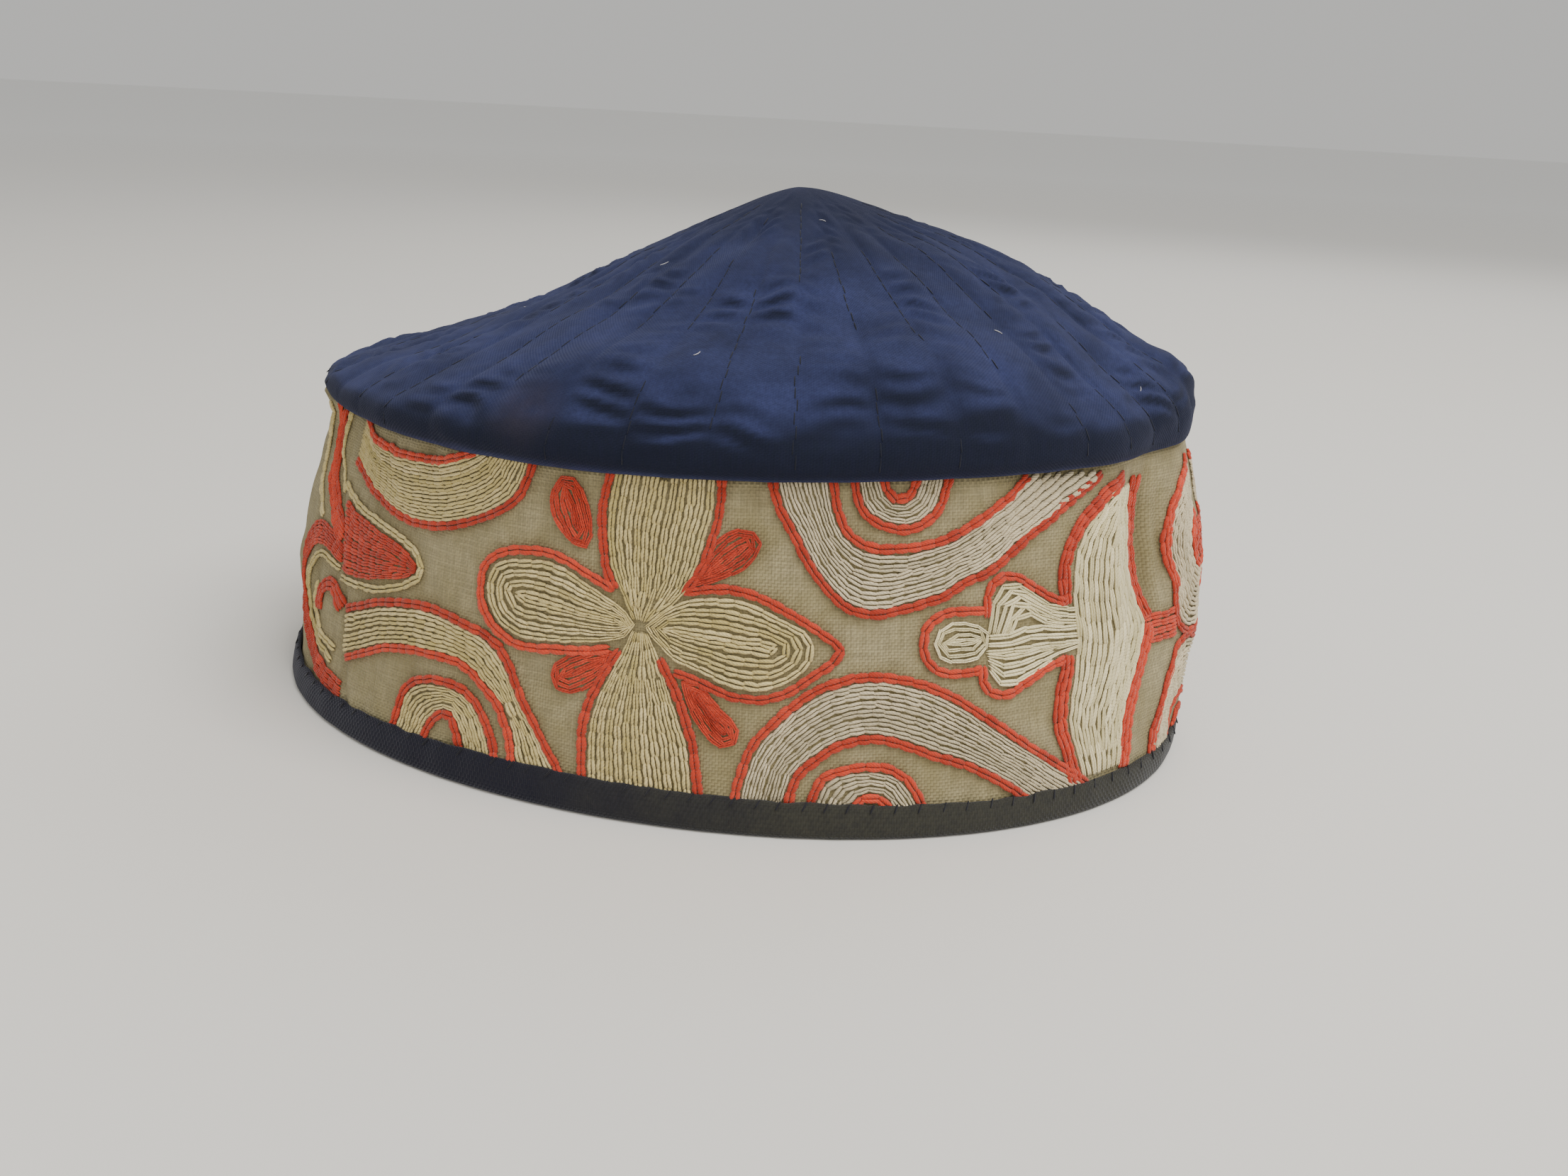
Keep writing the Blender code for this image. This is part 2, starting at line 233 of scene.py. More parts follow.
LEAF_END = (
    Strip("cream",
          ((-79.5, 54), (-72, 51), (-64, 49), (-56, 47.7), (-48, 47.4), (-37.5, 49.5), (-28, 53.5),
           (-22, 58), (-19.6, 65)),
          ((-78, 63.5), (-73, 60.4), (-65, 59.6), (-57, 59.5), (-44.5, 60.5), (-33, 64.5))),
    Fill("coral",
         ((-79.5, 45.2), (-75, 44), (-70, 43.3), (-63, 42.6), (-57, 41.7), (-52, 40.4), (-48.4, 38.8)),
         ((-76.4, 31.2), (-73, 31.3), (-70, 31.6), (-64, 32.6), (-57, 34.6), (-52, 36.2),
          (-48.4, 38))),
    Line("cream",
         ((-81.4, 48.6), (-77.5, 46.6), (-71, 45.2), (-65, 44.5), (-57, 43.7), (-50, 42), (-46.6, 39.6),
          (-46, 37.9), (-50.5, 34.8), (-59, 31.7), (-70, 29.9), (-76, 29.4))),
    Strip("cream",
          ((-72, 23.6), (-64, 27), (-55.5, 30), (-44.5, 32), (-34.5, 31.5), (-25.5, 29.5), (-20.5, 24),
           (-16.5, 16.5), (-12, 10.5), (-8, 4)),
          ((-68, 14.2), (-61, 17.6), (-55, 20.5), (-45, 23), (-35, 23.5), (-27.5, 20.5), (-22, 15.5),
           (-19, 4))),
    Strip("cream",
          ((-49, 4), (-47, 14.5), (-40, 18.5), (-32.5, 18.5), (-27, 15.5), (-24, 10.5), (-22.6, 4)),
          ((-41, 4), (-38, 11), (-33.5, 12.5), (-31, 4))),
    Fill("coral",
         ((-97, 66), (-96.4, 60), (-94.8, 53), (-91.4, 45.4), (-86, 39.4), (-79.6, 35)),
         ((-92, 66), (-91.4, 60), (-89.8, 53.6), (-86.4, 47), (-82.4, 42.6), (-79.2, 40.4))),
    Fill("coral",
         ((-78, 35.4), (-86, 37.6), (-94, 37.2), (-100, 32.6), (-102.6, 26), (-101, 19.4),
          (-95.4, 13.6), (-87, 9.2), (-77, 6.6), (-67, 5)),
         ((-77.4, 32.4), (-86, 33.4), (-92, 32.8), (-95.4, 30), (-97, 26), (-95.8, 20.4), (-91.4, 16),
          (-84.6, 12.6), (-76, 10.2), (-67.8, 9))),
    Line("coral",
         ((-84.4, 20), (-84.8, 23.4), (-82.6, 26), (-79, 27), (-76, 25.8), (-73.6, 23.6)), 2),
    Line("cream",
         ((-104.4, 64), (-103.6, 58), (-101.8, 50), (-98.6, 43), (-93, 38.8))),
    Line("cream", ((-88.6, 63), (-87.6, 56), (-85, 50), (-82, 46.6))),
    Line("cream",
         ((-77.4, 31), (-86, 31.6), (-91, 30.4), (-93.6, 26.6), (-92.8, 21.4), (-88.6, 17.4),
          (-82.6, 14.4), (-73.4, 12))),
    Line("cream", ((-88.2, 25), (-87.2, 21), (-83.6, 17.4), (-78, 15.4), (-73, 14.6))),
)

# The front as charted, and the back as the same motifs moved round.
PLACES = (
    Place(LEAF_END, 0),
    Place(FLOWER, 0),
    Place(WAVES, 0),
    Place(TRIDENT, 0),
    Place(MEDALLIONS, 0),
    Place(FLOWER, 186),
    Place(WAVES, 186),
    Place(TRIDENT, 186),
    Place(MEDALLIONS, 184),
    Place(FLOWER, -160),
)

# The slanted seam that closes the band, at three heights.
SEAM_LINE = ((-64, 4), (-77, 35), (-95, 66))

# Stitches no farther round than this from the middle of the front are the front's.
FRONT_REACH = 128
# The lowest stitches, hidden by the binding, and how far the highest go under the crown.
STITCH_FOOT = 4.5
STITCH_UNDER_CROWN = 1.0

# How far rows stay inside the edges of a Fill, where they go past them, and of a Strip.
FILL_INSET = -0.35
STRIP_INSET = 0.95
# A row ends where it has less room than this share of the pitch.
CROWDED = 0.52

# Places of stray fluff on the crown, as channel and share of the way up from the seam.
LINT = (
    (27.6, 0.62), (33.2, 0.80), (38.4, 0.16), (24.1, 0.44), (30.5, 0.30), (35.8, 0.36),
    (12.0, 0.55),
)

# Rays at the CAD faces start this far out, in metres.
AFAR = 0.3


def metres(name, description, default, low):
    """A length for the panel."""
    return FloatProperty(
        name=name, description=description, default=default, min=low, unit="LENGTH")


def tint(name, description, default):
    """A colour for the panel."""
    return FloatVectorProperty(
        name=name, description=description, default=default, subtype="COLOR", min=0, max=1)


class SkullcapSizes(bpy.types.PropertyGroup):
    """The sizes that a maker would change."""

    stitch_length: metres("Stitch length", "Length of one chain stitch", 0.0027, 0.001)
    row_pitch: metres("Row pitch", "Spacing of the rows in a filled motif", 0.0018, 0.0008)
    stitch_width: metres("Stitch width", "Width of a stitch that isn't crowded", 0.00185, 0.0005)
    stitch_height: metres(
        "Stitch height", "How far the thread stands off the cloth", 0.00085, 0.0002)
    cloth_wall: metres("Cloth wall", "Thickness of the band with its lining", 0.0022, 0.0005)
    crown_wall: metres("Crown wall", "Thickness of the quilted crown", 0.0024, 0.0005)
    channels: IntProperty(
        name="Channels", description="Stitched lines that run from the seam to the point",
        default=40, min=8)
    line_depth: metres("Line depth", "How far a stitched line is drawn in", 0.0005, 0.0)
    pucker_pitch: metres(
        "Pucker pitch", "Spacing of the short folds across a channel", 0.0052, 0.002)
    pucker_height: metres("Pucker height", "Height of those folds", 0.00042, 0.0)
    weave_pitch: metres(
        "Weave pitch", "Spacing of the threads in the band's plain weave", 0.00055, 0.0002)
    camera_lens: FloatProperty(
        name="Lens", description="Focal length of the camera, in millimetres",
        default=33.36, min=10)


class SkullcapColours(bpy.types.PropertyGroup):
    """The colours that a maker would change."""

    cloth: tint("Band cloth", "Khaki ground of the band", (0.350, 0.300, 0.172))
    cream: tint("Cream thread", "Thread of the flowers and the leaves", (0.640, 0.530, 0.275))
    ivory: tint("Ivory thread", "Lighter thread of the trident", (0.800, 0.720, 0.470))
    pale: tint("Pale thread", "Greyish thread of the waves", (0.620, 0.530, 0.360))
    coral: tint("Coral thread", "Red thread of the outlines", (0.600, 0.064, 0.028))
    crown: tint("Crown cloth", "Navy of the quilted crown", (0.0055, 0.0080, 0.0190))
    # Faded navy, also used as painted light where the crown faces up.
    crown_faded_and_lit: tint("Faded crown", "Where the crown has faded", (0.028, 0.036, 0.104))
    binding: tint("Binding", "Navy-black of the binding", (0.008, 0.008, 0.017))
    binding_faded: tint("Faded binding", "Where the binding has faded", (0.036, 0.035, 0.026))
    floor: tint("Floor", "The plain pale floor", (0.78, 0.76, 0.72))


def sizes():
    """The scene's sizes."""
    return bpy.context.scene.skullcap_sizes


def colour(name):
    """One of the scene's colours, with full alpha."""
    return (*getattr(bpy.context.scene.skullcap_colours, name), 1.0)


def shaded(tone, *factors):
    """A colour made darker or lighter, by one factor or by one for each channel."""
    factors = factors * 3 if len(factors) == 1 else factors
    return (*(min(1, c * f) for c, f in zip(tone[:3], factors)), 1.0)


# Lines and waves


def through(points):
    """A smooth line through charted points."""
    p = np.array(points, float)
    if len(p) < 3:
        return p
    ext = np.vstack([2 * p[0] - p[1], p, 2 * p[-1] - p[-2]])
    t = np.linspace(0, 1, 8, endpoint=False)[:, None]
    parts = []
    for i in range(1, len(ext) - 2):
        a, b, c, d = ext[i - 1:i + 3]
        bend = (2 * a - 5 * b + 4 * c - d) * t**2 + (3 * b - a - 3 * c + d) * t**3
        parts.append(0.5 * (2 * b + (c - a) * t + bend))
    return np.vstack(parts + [p[-1:]])


def even(line, count):
    """Points evenly along a line."""
    run = np.concatenate([[0], np.cumsum(np.linalg.norm(np.diff(line, axis=0), axis=1))])
    at = np.linspace(0, run[-1], count)
    return np.stack([np.interp(at, run, line[:, i]) for i in range(line.shape[1])], 1)


def ripples(across, up, seed, pitch, around, stretch=1.0, count=16):
    """Soft uneven waves of roughly one pitch, whose whole number goes round."""
    rng = np.random.default_rng(seed)
    total = np.zeros(np.broadcast(across, up).shape)
    for _ in range(count):
        angle = rng.uniform(0, 2 * math.pi)
        size = pitch * rng.uniform(0.7, 1.5)
        turns = round(math.cos(angle) / size * around) / around
        rise = math.sin(angle) / (size * stretch)
        total += np.sin(2 * math.pi * (turns * across + rise * up) + rng.uniform(0, 2 * math.pi))
    return total / math.sqrt(2 * count)


def soften(values, spread, axis, periodic):
    """Gaussian smoothing of a table along one axis. spread is in steps of the table."""
    reach = max(1, int(math.ceil(spread * 3)))
    weights = np.exp(-0.5 * (np.arange(-reach, reach + 1) / spread) ** 2)
    weights /= weights.sum()
    moved = np.moveaxis(values, axis, 0)
    if periodic:
        padded = np.concatenate([moved[-reach:], moved, moved[:reach]])
    else:
        head = 2 * moved[:1] - moved[reach:0:-1]
        tail = 2 * moved[-1:] - moved[-2:-reach - 2:-1]
        padded = np.concatenate([head, moved, tail])
    out = sum(w * padded[i:i + len(moved)] for i, w in enumerate(weights))
    return np.moveaxis(out, 0, axis)


def tree_of(node):
    """A search tree over a CAD node, for finding its faces."""
    bm = bmesh.new()
    bm.from_mesh(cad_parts[node].data)
    tree = BVHTree.FromBMesh(bm)
    bm.free()
    return tree


def unit(vectors):
    """Vectors brought to length 1."""
    return vectors / np.maximum(np.linalg.norm(vectors, axis=-1, keepdims=True), 1e-12)


def look_up(table, column, row):
    """Values between the entries of a table that closes round its first axis."""
    count, rows = table.shape[:2]
    column = np.asarray(column) % count
    row = np.clip(np.asarray(row), 0, rows - 1.0001)
    c, r = np.floor(column).astype(int), np.floor(row).astype(int)
    fc, fr = (column - c)[..., None], (row - r)[..., None]
    c %= count
    following = (c + 1) % count
    low = table[c, r] * (1 - fc) + table[following, r] * fc
    high = table[c, r + 1] * (1 - fc) + table[following, r + 1] * fc
    return low * (1 - fr) + high * fr


class Band:
    """The band's outer face, read from the CAD solid, with the cloth's own unevenness."""

    COLUMNS = 1440
    BOTTOM = 0.0025
    STEP = 0.001
    ROWS = 66
    # A hit nearer the axis than this isn't the band's outer face.
    NEAREST = 0.03

    def __init__(self):
        tree = tree_of("band")
        turns = FRONT + np.arange(self.COLUMNS) * 2 * math.pi / self.COLUMNS
        heights = self.BOTTOM + np.arange(self.ROWS) * self.STEP
        radius = np.full((self.COLUMNS, self.ROWS), np.nan)
        for i, turn in enumerate(turns):
            out = Vector((math.cos(turn), math.sin(turn), 0))
            for j in range(0, self.ROWS, 3):
                hit = tree.ray_cast(out * AFAR + Vector((0, 0, heights[j])), -out)[0]
                if hit is not None and math.hypot(hit.x, hit.y) > self.NEAREST:
                    radius[i, j] = math.hypot(hit.x, hit.y)
        for i in range(self.COLUMNS):
            known = np.flatnonzero(~np.isnan(radius[i]))[:-1]
            slope = (radius[i, known[-1]] - radius[i, known[-2]]) / (known[-1] - known[-2])
            filled = np.interp(np.arange(self.ROWS), known, radius[i, known])
            past = np.arange(self.ROWS) - known[-1]
            radius[i] = np.where(past > 0, radius[i, known[-1]] + past * slope, filled)
        radius = soften(radius, 8, 0, True)
        ring = np.stack([radius * np.cos(turns)[:, None], radius * np.sin(turns)[:, None]], -1)
        level = round((LEVEL - self.BOTTOM) / self.STEP)
        step = np.linalg.norm(np.roll(ring[:, level], -1, 0) - ring[:, level], axis=1)
        self.around = step.sum() / MM
        self.rounds = np.concatenate([[0], np.cumsum(step)[:-1]]) / MM
        self.heights = heights / MM
        s, z = np.meshgrid(self.rounds, self.heights, indexing="ij")
        radius = radius + self.relief(s, z) * MM
        self.points = np.stack([
            radius * np.cos(turns)[:, None],
            radius * np.sin(turns)[:, None],
            np.broadcast_to(heights, radius.shape),
        ], -1)
        along = np.roll(self.points, -1, 0) - np.roll(self.points, 1, 0)
        up = np.gradient(self.points, axis=1)
        self.normals = unit(np.cross(along, up))

    def relief(self, s, z):
        """The cloth's puckers, the groove of its closing seam and the fold at the right end, in
        millimetres."""
        puckers = 0.32 * ripples(s, z, 4, 13, self.around, 1.5)
        puckers += 0.20 * ripples(s, z, 5, 5.5, self.around, 2.2)
        gather = 0.20 * ripples(s, z * 0, 6, 6.0, self.around) * np.exp(-(((z - 61) / 6) ** 2))
        line = np.array(SEAM_LINE, float)
        seam = np.interp(z, line[:, 1], line[:, 0])
        apart = (s - seam + self.around / 2) % self.around - self.around / 2
        groove = -0.55 * np.exp(-((apart / 0.9) ** 2)) + 0.25 * np.exp(-(((apart - 2.4) / 1.6) ** 2))
        tall = np.exp(-(((z - 48) / 12) ** 4))
        fold = -2.0 * np.exp(-(((s - 116.2) / 2.0) ** 2)) - 0.9 * np.exp(-(((s - 120.8) / 1.0) ** 2))
        return puckers + gather + groove + fold * tall

    def painted_shade_and_soil(self, spots):
        """How much painted shade lies at places on the cloth: in its folds, and by the thread, where
        some dirt lies too.
        """
        turn = (np.arctan2(spots[:, 1], spots[:, 0]) - FRONT) % (2 * math.pi)
        column = turn / (2 * math.pi) * self.COLUMNS
        s = np.interp(column, np.arange(self.COLUMNS + 1), np.append(self.rounds, self.around))
        # Painted shade in the cloth's valleys, deeper where the relief sinks further.
        folds = np.clip(-self.relief(s, spots[:, 2] / MM) / 1.3, 0, 1)
        rows = np.vstack(list(embroidery().values()))
        tree = KDTree(len(rows))
        for i, spot in enumerate(self.at(rows[:, 0], rows[:, 1])[0]):
            tree.insert(spot, i)
        tree.balance()
        away = np.array([tree.find(spot)[2] for spot in spots]) / MM
        # Beside the thread: painted shade, with some dirt.
        return np.clip(folds + 0.75 * np.exp(-((away / 2.0) ** 2)), 0, 1)

    def at(self, s, z):
        """Places and outward directions on the face, for a chart's millimetres."""
        s = np.asarray(s) % self.around
        column = np.interp(s, np.append(self.rounds, self.around), np.arange(self.COLUMNS + 1))
        row = (np.asarray(z) - self.heights[0]) / (self.STEP / MM)
        return look_up(self.points, column, row), unit(look_up(self.normals, column, row))


def seam_height(point):
    """The height of the seam between band and crown over a place on the floor, in metres."""
    return 0.0639 + 0.0023 * point[..., 0] / np.hypot(point[..., 0], point[..., 1])


class Crown:
    """The crown's outer face, read from the CAD solid, with its quilting and its puckers."""

    COLUMNS = 400
    ROWS = 112
    # Rays in each section aim at a place under the point, at this height, and a hit nearer to it
    # than NEAREST isn't the outer face.
    RAYS = 150
    EYE = 0.058
    NEAREST = 0.02
    # How far out the point is rounded off, and over how many rows.
    POINT_REACH = 0.013
    POINT_EASE = 4.0

    def __init__(self):
        tree = tree_of("crown")
        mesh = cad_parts["crown"].data
        spots = np.empty(len(mesh.vertices) * 3)
        mesh.vertices.foreach_get("co", spots)
        spots = spots.reshape(-1, 3)
        self.apex = spots[spots[:, 2].argmax()]
        low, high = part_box("crown")
        middle_x = (low[0] + high[0]) / 2
        eye = Vector((self.apex[0], self.apex[1], self.EYE))
        sections = []
        for turn in np.arange(self.COLUMNS) * 2 * math.pi / self.COLUMNS:
            across = 1 - 0.19 * math.cos(turn) ** 2
            seam = np.array(
                [middle_x + 0.0923 * math.cos(turn), 0.069 * math.sin(turn) * across])
            away = seam - self.apex[:2]
            aim = math.atan2(away[1], away[0])
            foot = seam_height(seam) + 0.0003 - self.EYE
            start = math.atan2(foot, math.hypot(*away)) + math.radians(0.2)
            found = []
            for share in np.arange(self.RAYS) / self.RAYS:
                rise = start + (math.pi / 2 - start) * share**1.6
                out = Vector((
                    math.cos(rise) * math.cos(aim), math.cos(rise) * math.sin(aim), math.sin(rise)))
                hit = tree.ray_cast(eye + out * AFAR, -out)[0]
                if hit is not None and (hit - eye).dot(out) > self.NEAREST:
                    found.append(hit)
            found.append(Vector(self.apex))
            sections.append(even(np.array(found), self.ROWS))
        points = soften(np.array(sections), 4.5, 0, True)
        rough = soften(points, 0.8, 1, False)
        broad = soften(points, 4.0, 1, False)
        share = np.clip((np.arange(self.ROWS) - 8) / 14, 0, 1)[None, :, None]
        points = rough * (1 - share) + broad * share
        points = self.through_point(points)
        normals = self.facing(points)
        points = points + normals * self.relief(points)[..., None] * MM
        points[:, -1] = points[:, -2].mean(0)
        inward = unit((points[:, 1] - self.apex) * np.array([1, 1, 0]))
        points[:, 0] = points[:, 1] - inward * 0.0022 - np.array([0, 0, 0.0001])
        self.points = points
        self.normals = self.facing(points)
        self.normals[:, -1] = (0, 0, 1)

    def through_point(self, points):
        """Smooths the crown across its point, each section with the one opposite."""
        beyond = np.roll(points, self.COLUMNS // 2, 0)[:, -2:-32:-1]
        eased = soften(np.concatenate([points, beyond], 1), self.POINT_EASE, 1, False)
        eased = eased[:, :self.ROWS]
        level = np.linalg.norm((points - self.apex)[..., :2], axis=-1)
        near = np.exp(-((level / self.POINT_REACH) ** 2))[..., None]
        out = points * (1 - near) + eased * near
        out[..., 2] += near[..., 0] * (self.apex[2] - eased[:, -1, 2].mean())
        out[:, -1] = out[:, -1].mean(0)
        return out

    @staticmethod
    def facing(points):
        """The outward direction at each point of the table."""
        round_it = np.roll(points, -1, 0) - np.roll(points, 1, 0)
        up = np.gradient(points, axis=1)
        return unit(np.cross(round_it, up))

    def relief(self, points):
        """The stitched lines, the fullness between them and the folds across, in millimetres."""
        size = sizes()
        columns = np.arange(self.COLUMNS)[:, None]

        def waves(seed, pitch, stretch=1.0):
            return ripples(columns * 1.2, run, seed, pitch, self.COLUMNS * 1.2, stretch)

        step = np.linalg.norm(np.roll(points, -1, 0) - points, axis=-1) / MM
        spacing = soften(step, 6, 0, True) * self.COLUMNS / size.channels
        run = np.linalg.norm(np.diff(points, axis=1), axis=-1) / MM
        run = np.concatenate([np.zeros((self.COLUMNS, 1)), np.cumsum(run, axis=1)], 1)
        place = columns * size.channels / self.COLUMNS
        part = place - np.floor(place)
        away = np.minimum(part, 1 - part) * spacing
        kept = np.clip((spacing - 1.2) / 4.0, 0, 1)
        foot = np.clip((run - 2.0) / 6.0, 0.15, 1)
        shown = np.clip(0.55 + 0.7 * waves(20, 24), 0.1, 1)
        line = -size.line_depth / MM * (0.7 * np.exp(-((away / 0.6) ** 2)) * shown
                                        + 0.3 * np.exp(-((away / 2.0) ** 2)))
        full = 0.12 * np.sin(math.pi * part) * np.clip(spacing / 8, 0, 1)
        rng = np.random.default_rng(21)
        channel = np.floor(place).astype(int) % size.channels
        phase = rng.uniform(0, 2 * math.pi, size.channels)[channel]
        drift = ripples(columns, run, 22, 14, self.COLUMNS) * 2.8
        folds = np.sin(2 * math.pi * (run + 1.6 * part) / (size.pucker_pitch / MM) + phase + drift)
        folds *= size.pucker_height / MM * np.sin(math.pi * part) ** 0.7
        patchy = np.clip(0.35 + 0.95 * ripples(columns * 1.2, run, 23, 26, self.COLUMNS), 0.0, 1.5)
        broad = 0.30 * waves(24, 15, 1.2) + 0.34 * waves(25, 30, 0.8)
        point = np.clip((spacing - 0.6) / 4.5, 0, 1)
        return ((line + full) * kept + folds * patchy * kept + broad * point) * foot

    def at(self, channel, share):
        """Places and outward directions, by channel number and share of the way up."""
        column = np.asarray(channel) * self.COLUMNS / sizes().channels
        row = np.asarray(share) * (self.ROWS - 1)
        return look_up(self.points, column, row), unit(look_up(self.normals, column, row))


surfaces = {}


def band_face():
    """The band's face, made once."""
    if "band" not in surfaces:
        surfaces["band"] = Band()
    return surfaces["band"]


def crown_face():
    """The crown's face, made once."""
    if "crown" not in surfaces:
        surfaces["crown"] = Crown()
    return surfaces["crown"]


# Meshes


def rolled(name, columns, rows, place, closes_up=False):
    """A grid rolled into a ring: place gives points for shares round and up. Its UV map keeps
    the shares."""
    bm = bmesh.new()
    uv = bm.loops.layers.uv.new("UVMap")
    bmesh.ops.create_grid(bm, x_segments=columns, y_segments=rows, size=0.5)
    shares = np.array([vert.co[:2] for vert in bm.verts]) + 0.5
    for face in bm.faces:
        for loop in face.loops:
            loop[uv].uv = (loop.vert.co.x + 0.5, loop.vert.co.y + 0.5)
    for vert, point in zip(bm.verts, place(shares[:, 0], shares[:, 1])):
        vert.co = point
    edge = [v for v, s in zip(bm.verts, shares) if s[0] < 1e-6 or s[0] > 1 - 1e-6
            or s[1] > 1 - 1e-6 or (closes_up and s[1] < 1e-6)]
    bmesh.ops.remove_doubles(bm, verts=edge, dist=2e-6)
    return finish(name, bm)


def finish(name, bm):
    """Makes an object from a mesh under construction, shaded smooth."""
    mesh = bpy.data.meshes.new(name)
    bm.to_mesh(mesh)
    bm.free()
    mesh.shade_smooth()
    made = bpy.data.objects.new(name, mesh)
    bpy.context.scene.collection.objects.link(made)
    return made


def wall(piece, thickness):
    """Gives a sheet its thickness, inwards."""
    solid = piece.modifiers.new("wall", "SOLIDIFY")
    solid.thickness = thickness
    solid.offset = -1.0
    solid.use_rim = True


def strand_template(strands, rings, sides):
    """The shape of one stitch, along X with its length 1, as points and triangles. A strand has
    a sideways place and a swing, in stitch widths."""
    bm = bmesh.new()
    for side, swing, thick in strands:
        made = bmesh.ops.create_uvsphere(
            bm, u_segments=sides, v_segments=rings, radius=0.5,
            matrix=Matrix.Rotation(math.pi / 2, 4, "Y"))
        for vert in made["verts"]:
            along = vert.co.x
            round_it = 2 * math.hypot(vert.co.y, vert.co.z)
            fuller = round_it**-0.45 if round_it > 0.01 else 1.0
            bow = math.cos(math.pi * min(0.5, max(-0.5, along * 0.92 - 0.06)))
            vert.co.y = side * (0.14 + swing * bow**0.75) + vert.co.y * thick * fuller
            vert.co.z *= fuller
    bmesh.ops.triangulate(bm, faces=bm.faces)
    points = np.array([vert.co[:] for vert in bm.verts])
    faces = np.array([[vert.index for vert in face.verts] for face in bm.faces])
    bm.free()
    return points, faces


def joined(name, points, faces, uv, shades):
    """One mesh from many copies of a template. points has a row of points for each copy."""
    copies, count = points.shape[:2]
    all_faces = (faces[None] + (np.arange(copies) * count)[:, None, None]).reshape(-1, 3)
    mesh = bpy.data.meshes.new(name)
    mesh.vertices.add(copies * count)
    mesh.vertices.foreach_set("co", points.reshape(-1))
    mesh.loops.add(len(all_faces) * 3)
    mesh.loops.foreach_set("vertex_index", all_faces.reshape(-1).astype(np.int32))
    mesh.polygons.add(len(all_faces))
    mesh.polygons.foreach_set("loop_start", np.arange(0, len(all_faces) * 3, 3, dtype=np.int32))
    mesh.update(calc_edges=True)
    layer = mesh.uv_layers.new(name="UVMap")
    layer.data.foreach_set("uv", uv.reshape(-1, 2)[all_faces.reshape(-1)].reshape(-1))
    shade = mesh.attributes.new("shade", "FLOAT", "POINT")
    shade.data.foreach_set("value", np.repeat(shades, count))
    mesh.shade_smooth()
    mesh.validate()
    made = bpy.data.objects.new(name, mesh)
    bpy.context.scene.collection.objects.link(made)
    return made


def laid(name, here, along, normal, length, thick, lift, rng, rings=5, curl=0.0):
    """Single strands laid on a face, each along its own direction."""
    shape, faces = strand_template(((0, 0.0, 1.0),), rings, 5)
    side = np.cross(normal, along)
    bend = curl * np.cos(shape[None, :, 0:1] * math.pi) * length
    points = (here[:, None] + along[:, None] * (shape[None, :, 0:1] * length)
              + side[:, None] * (shape[None, :, 1:2] * thick + bend)
              + normal[:, None] * (shape[None, :, 2:3] * thick + lift))
    uv = np.zeros(points.shape[:2] + (2,))
    return joined(name, points, faces, uv, rng.uniform(0, 1, len(here)))


# Rows of stitches


def closed(line):
    """A line with its first point repeated at its end."""
    return np.vstack([line, line[:1]])


def nearest_on(spine, points):
    """The point of a straight spine nearest to each point."""
    a, b = np.array(spine[0], float), np.array(spine[1], float)
    along = np.clip(((points - a) @ (b - a)) / ((b - a) @ (b - a)), 0, 1)
    return a + along[:, None] * (b - a)


def fill_rows(thread, first, last, inset):
    """Rows between two edges, each with the width that it has room for. Every other row ends
    where they crowd."""
    usual = sizes().row_pitch / MM
    pitch = usual * LIES[thread].pitch
    a, b = even(through(first), 90), even(through(last), 90)
    gap = np.linalg.norm(b - a, axis=1)
    step = np.minimum(inset, gap * 0.45)[:, None]
    toward = unit(b - a)
    a, b = a + toward * step, b - toward * step
    gap = np.linalg.norm(b - a, axis=1)
    count = max(1, round(np.percentile(gap, 80) / pitch))
    rows = []
    for k in range(count):
        share = (k + 0.5) / count
        room = gap / count
        crowded = room <= CROWDED * pitch
        keep = ~crowded if k % 2 else np.full(len(room), True)
        width = np.where(crowded & (k % 2 == 0), room * 2, room)
        line = a * (1 - share) + b * share
        for part in runs(keep):
            if part.stop - part.start > 4:
                rows.append((thread, line[part], width[part] / usual))
    return rows


def line_rows(thread, points, count=1):
    """Rows side by side along a charted line."""
    line = through(points)
    ahead = unit(np.gradient(line, axis=0))
    aside = np.stack([-ahead[:, 1], ahead[:, 0]], 1) * sizes().row_pitch / MM * 0.72
    width = np.full(len(line), LIES[thread].line)
    return [(thread, line + aside * (k - (count - 1) / 2), width) for k in range(count)]


def runs(keep):
    """Stretches of a row that are kept."""
    marks = np.flatnonzero(np.diff(np.concatenate([[0], keep.astype(int), [0]])))
    return [slice(a, b) for a, b in zip(marks[::2], marks[1::2])]


def rows_of(motif):
    """The rows of stitches that make a motif, as thread, line and widths."""
    if isinstance(motif, Line):
        return line_rows(*motif)
    if isinstance(motif, Fill):
        return fill_rows(motif.thread, motif.first, motif.last, FILL_INSET)
    if isinstance(motif, Strip):
        rows = fill_rows(motif.thread, motif.outer, motif.inner, STRIP_INSET)
        return rows + line_rows("coral", motif.outer) + line_rows("coral", motif.inner)
    edge = even(closed(through(closed(np.array(motif.edge)))), 120)
    hub = nearest_on(motif.spine, edge)
    pitch = sizes().row_pitch / MM
    depth = np.linalg.norm(edge - hub, axis=1)
    rows = []
    for share in np.linspace(0.38, motif.rows - 0.42, motif.rows) / motif.rows:
        line = edge * (1 - share) + hub * share
        room = np.clip(depth / motif.rows / pitch, 0.45, 1.15)
        rows.append((motif.thread, line, room))
    return rows


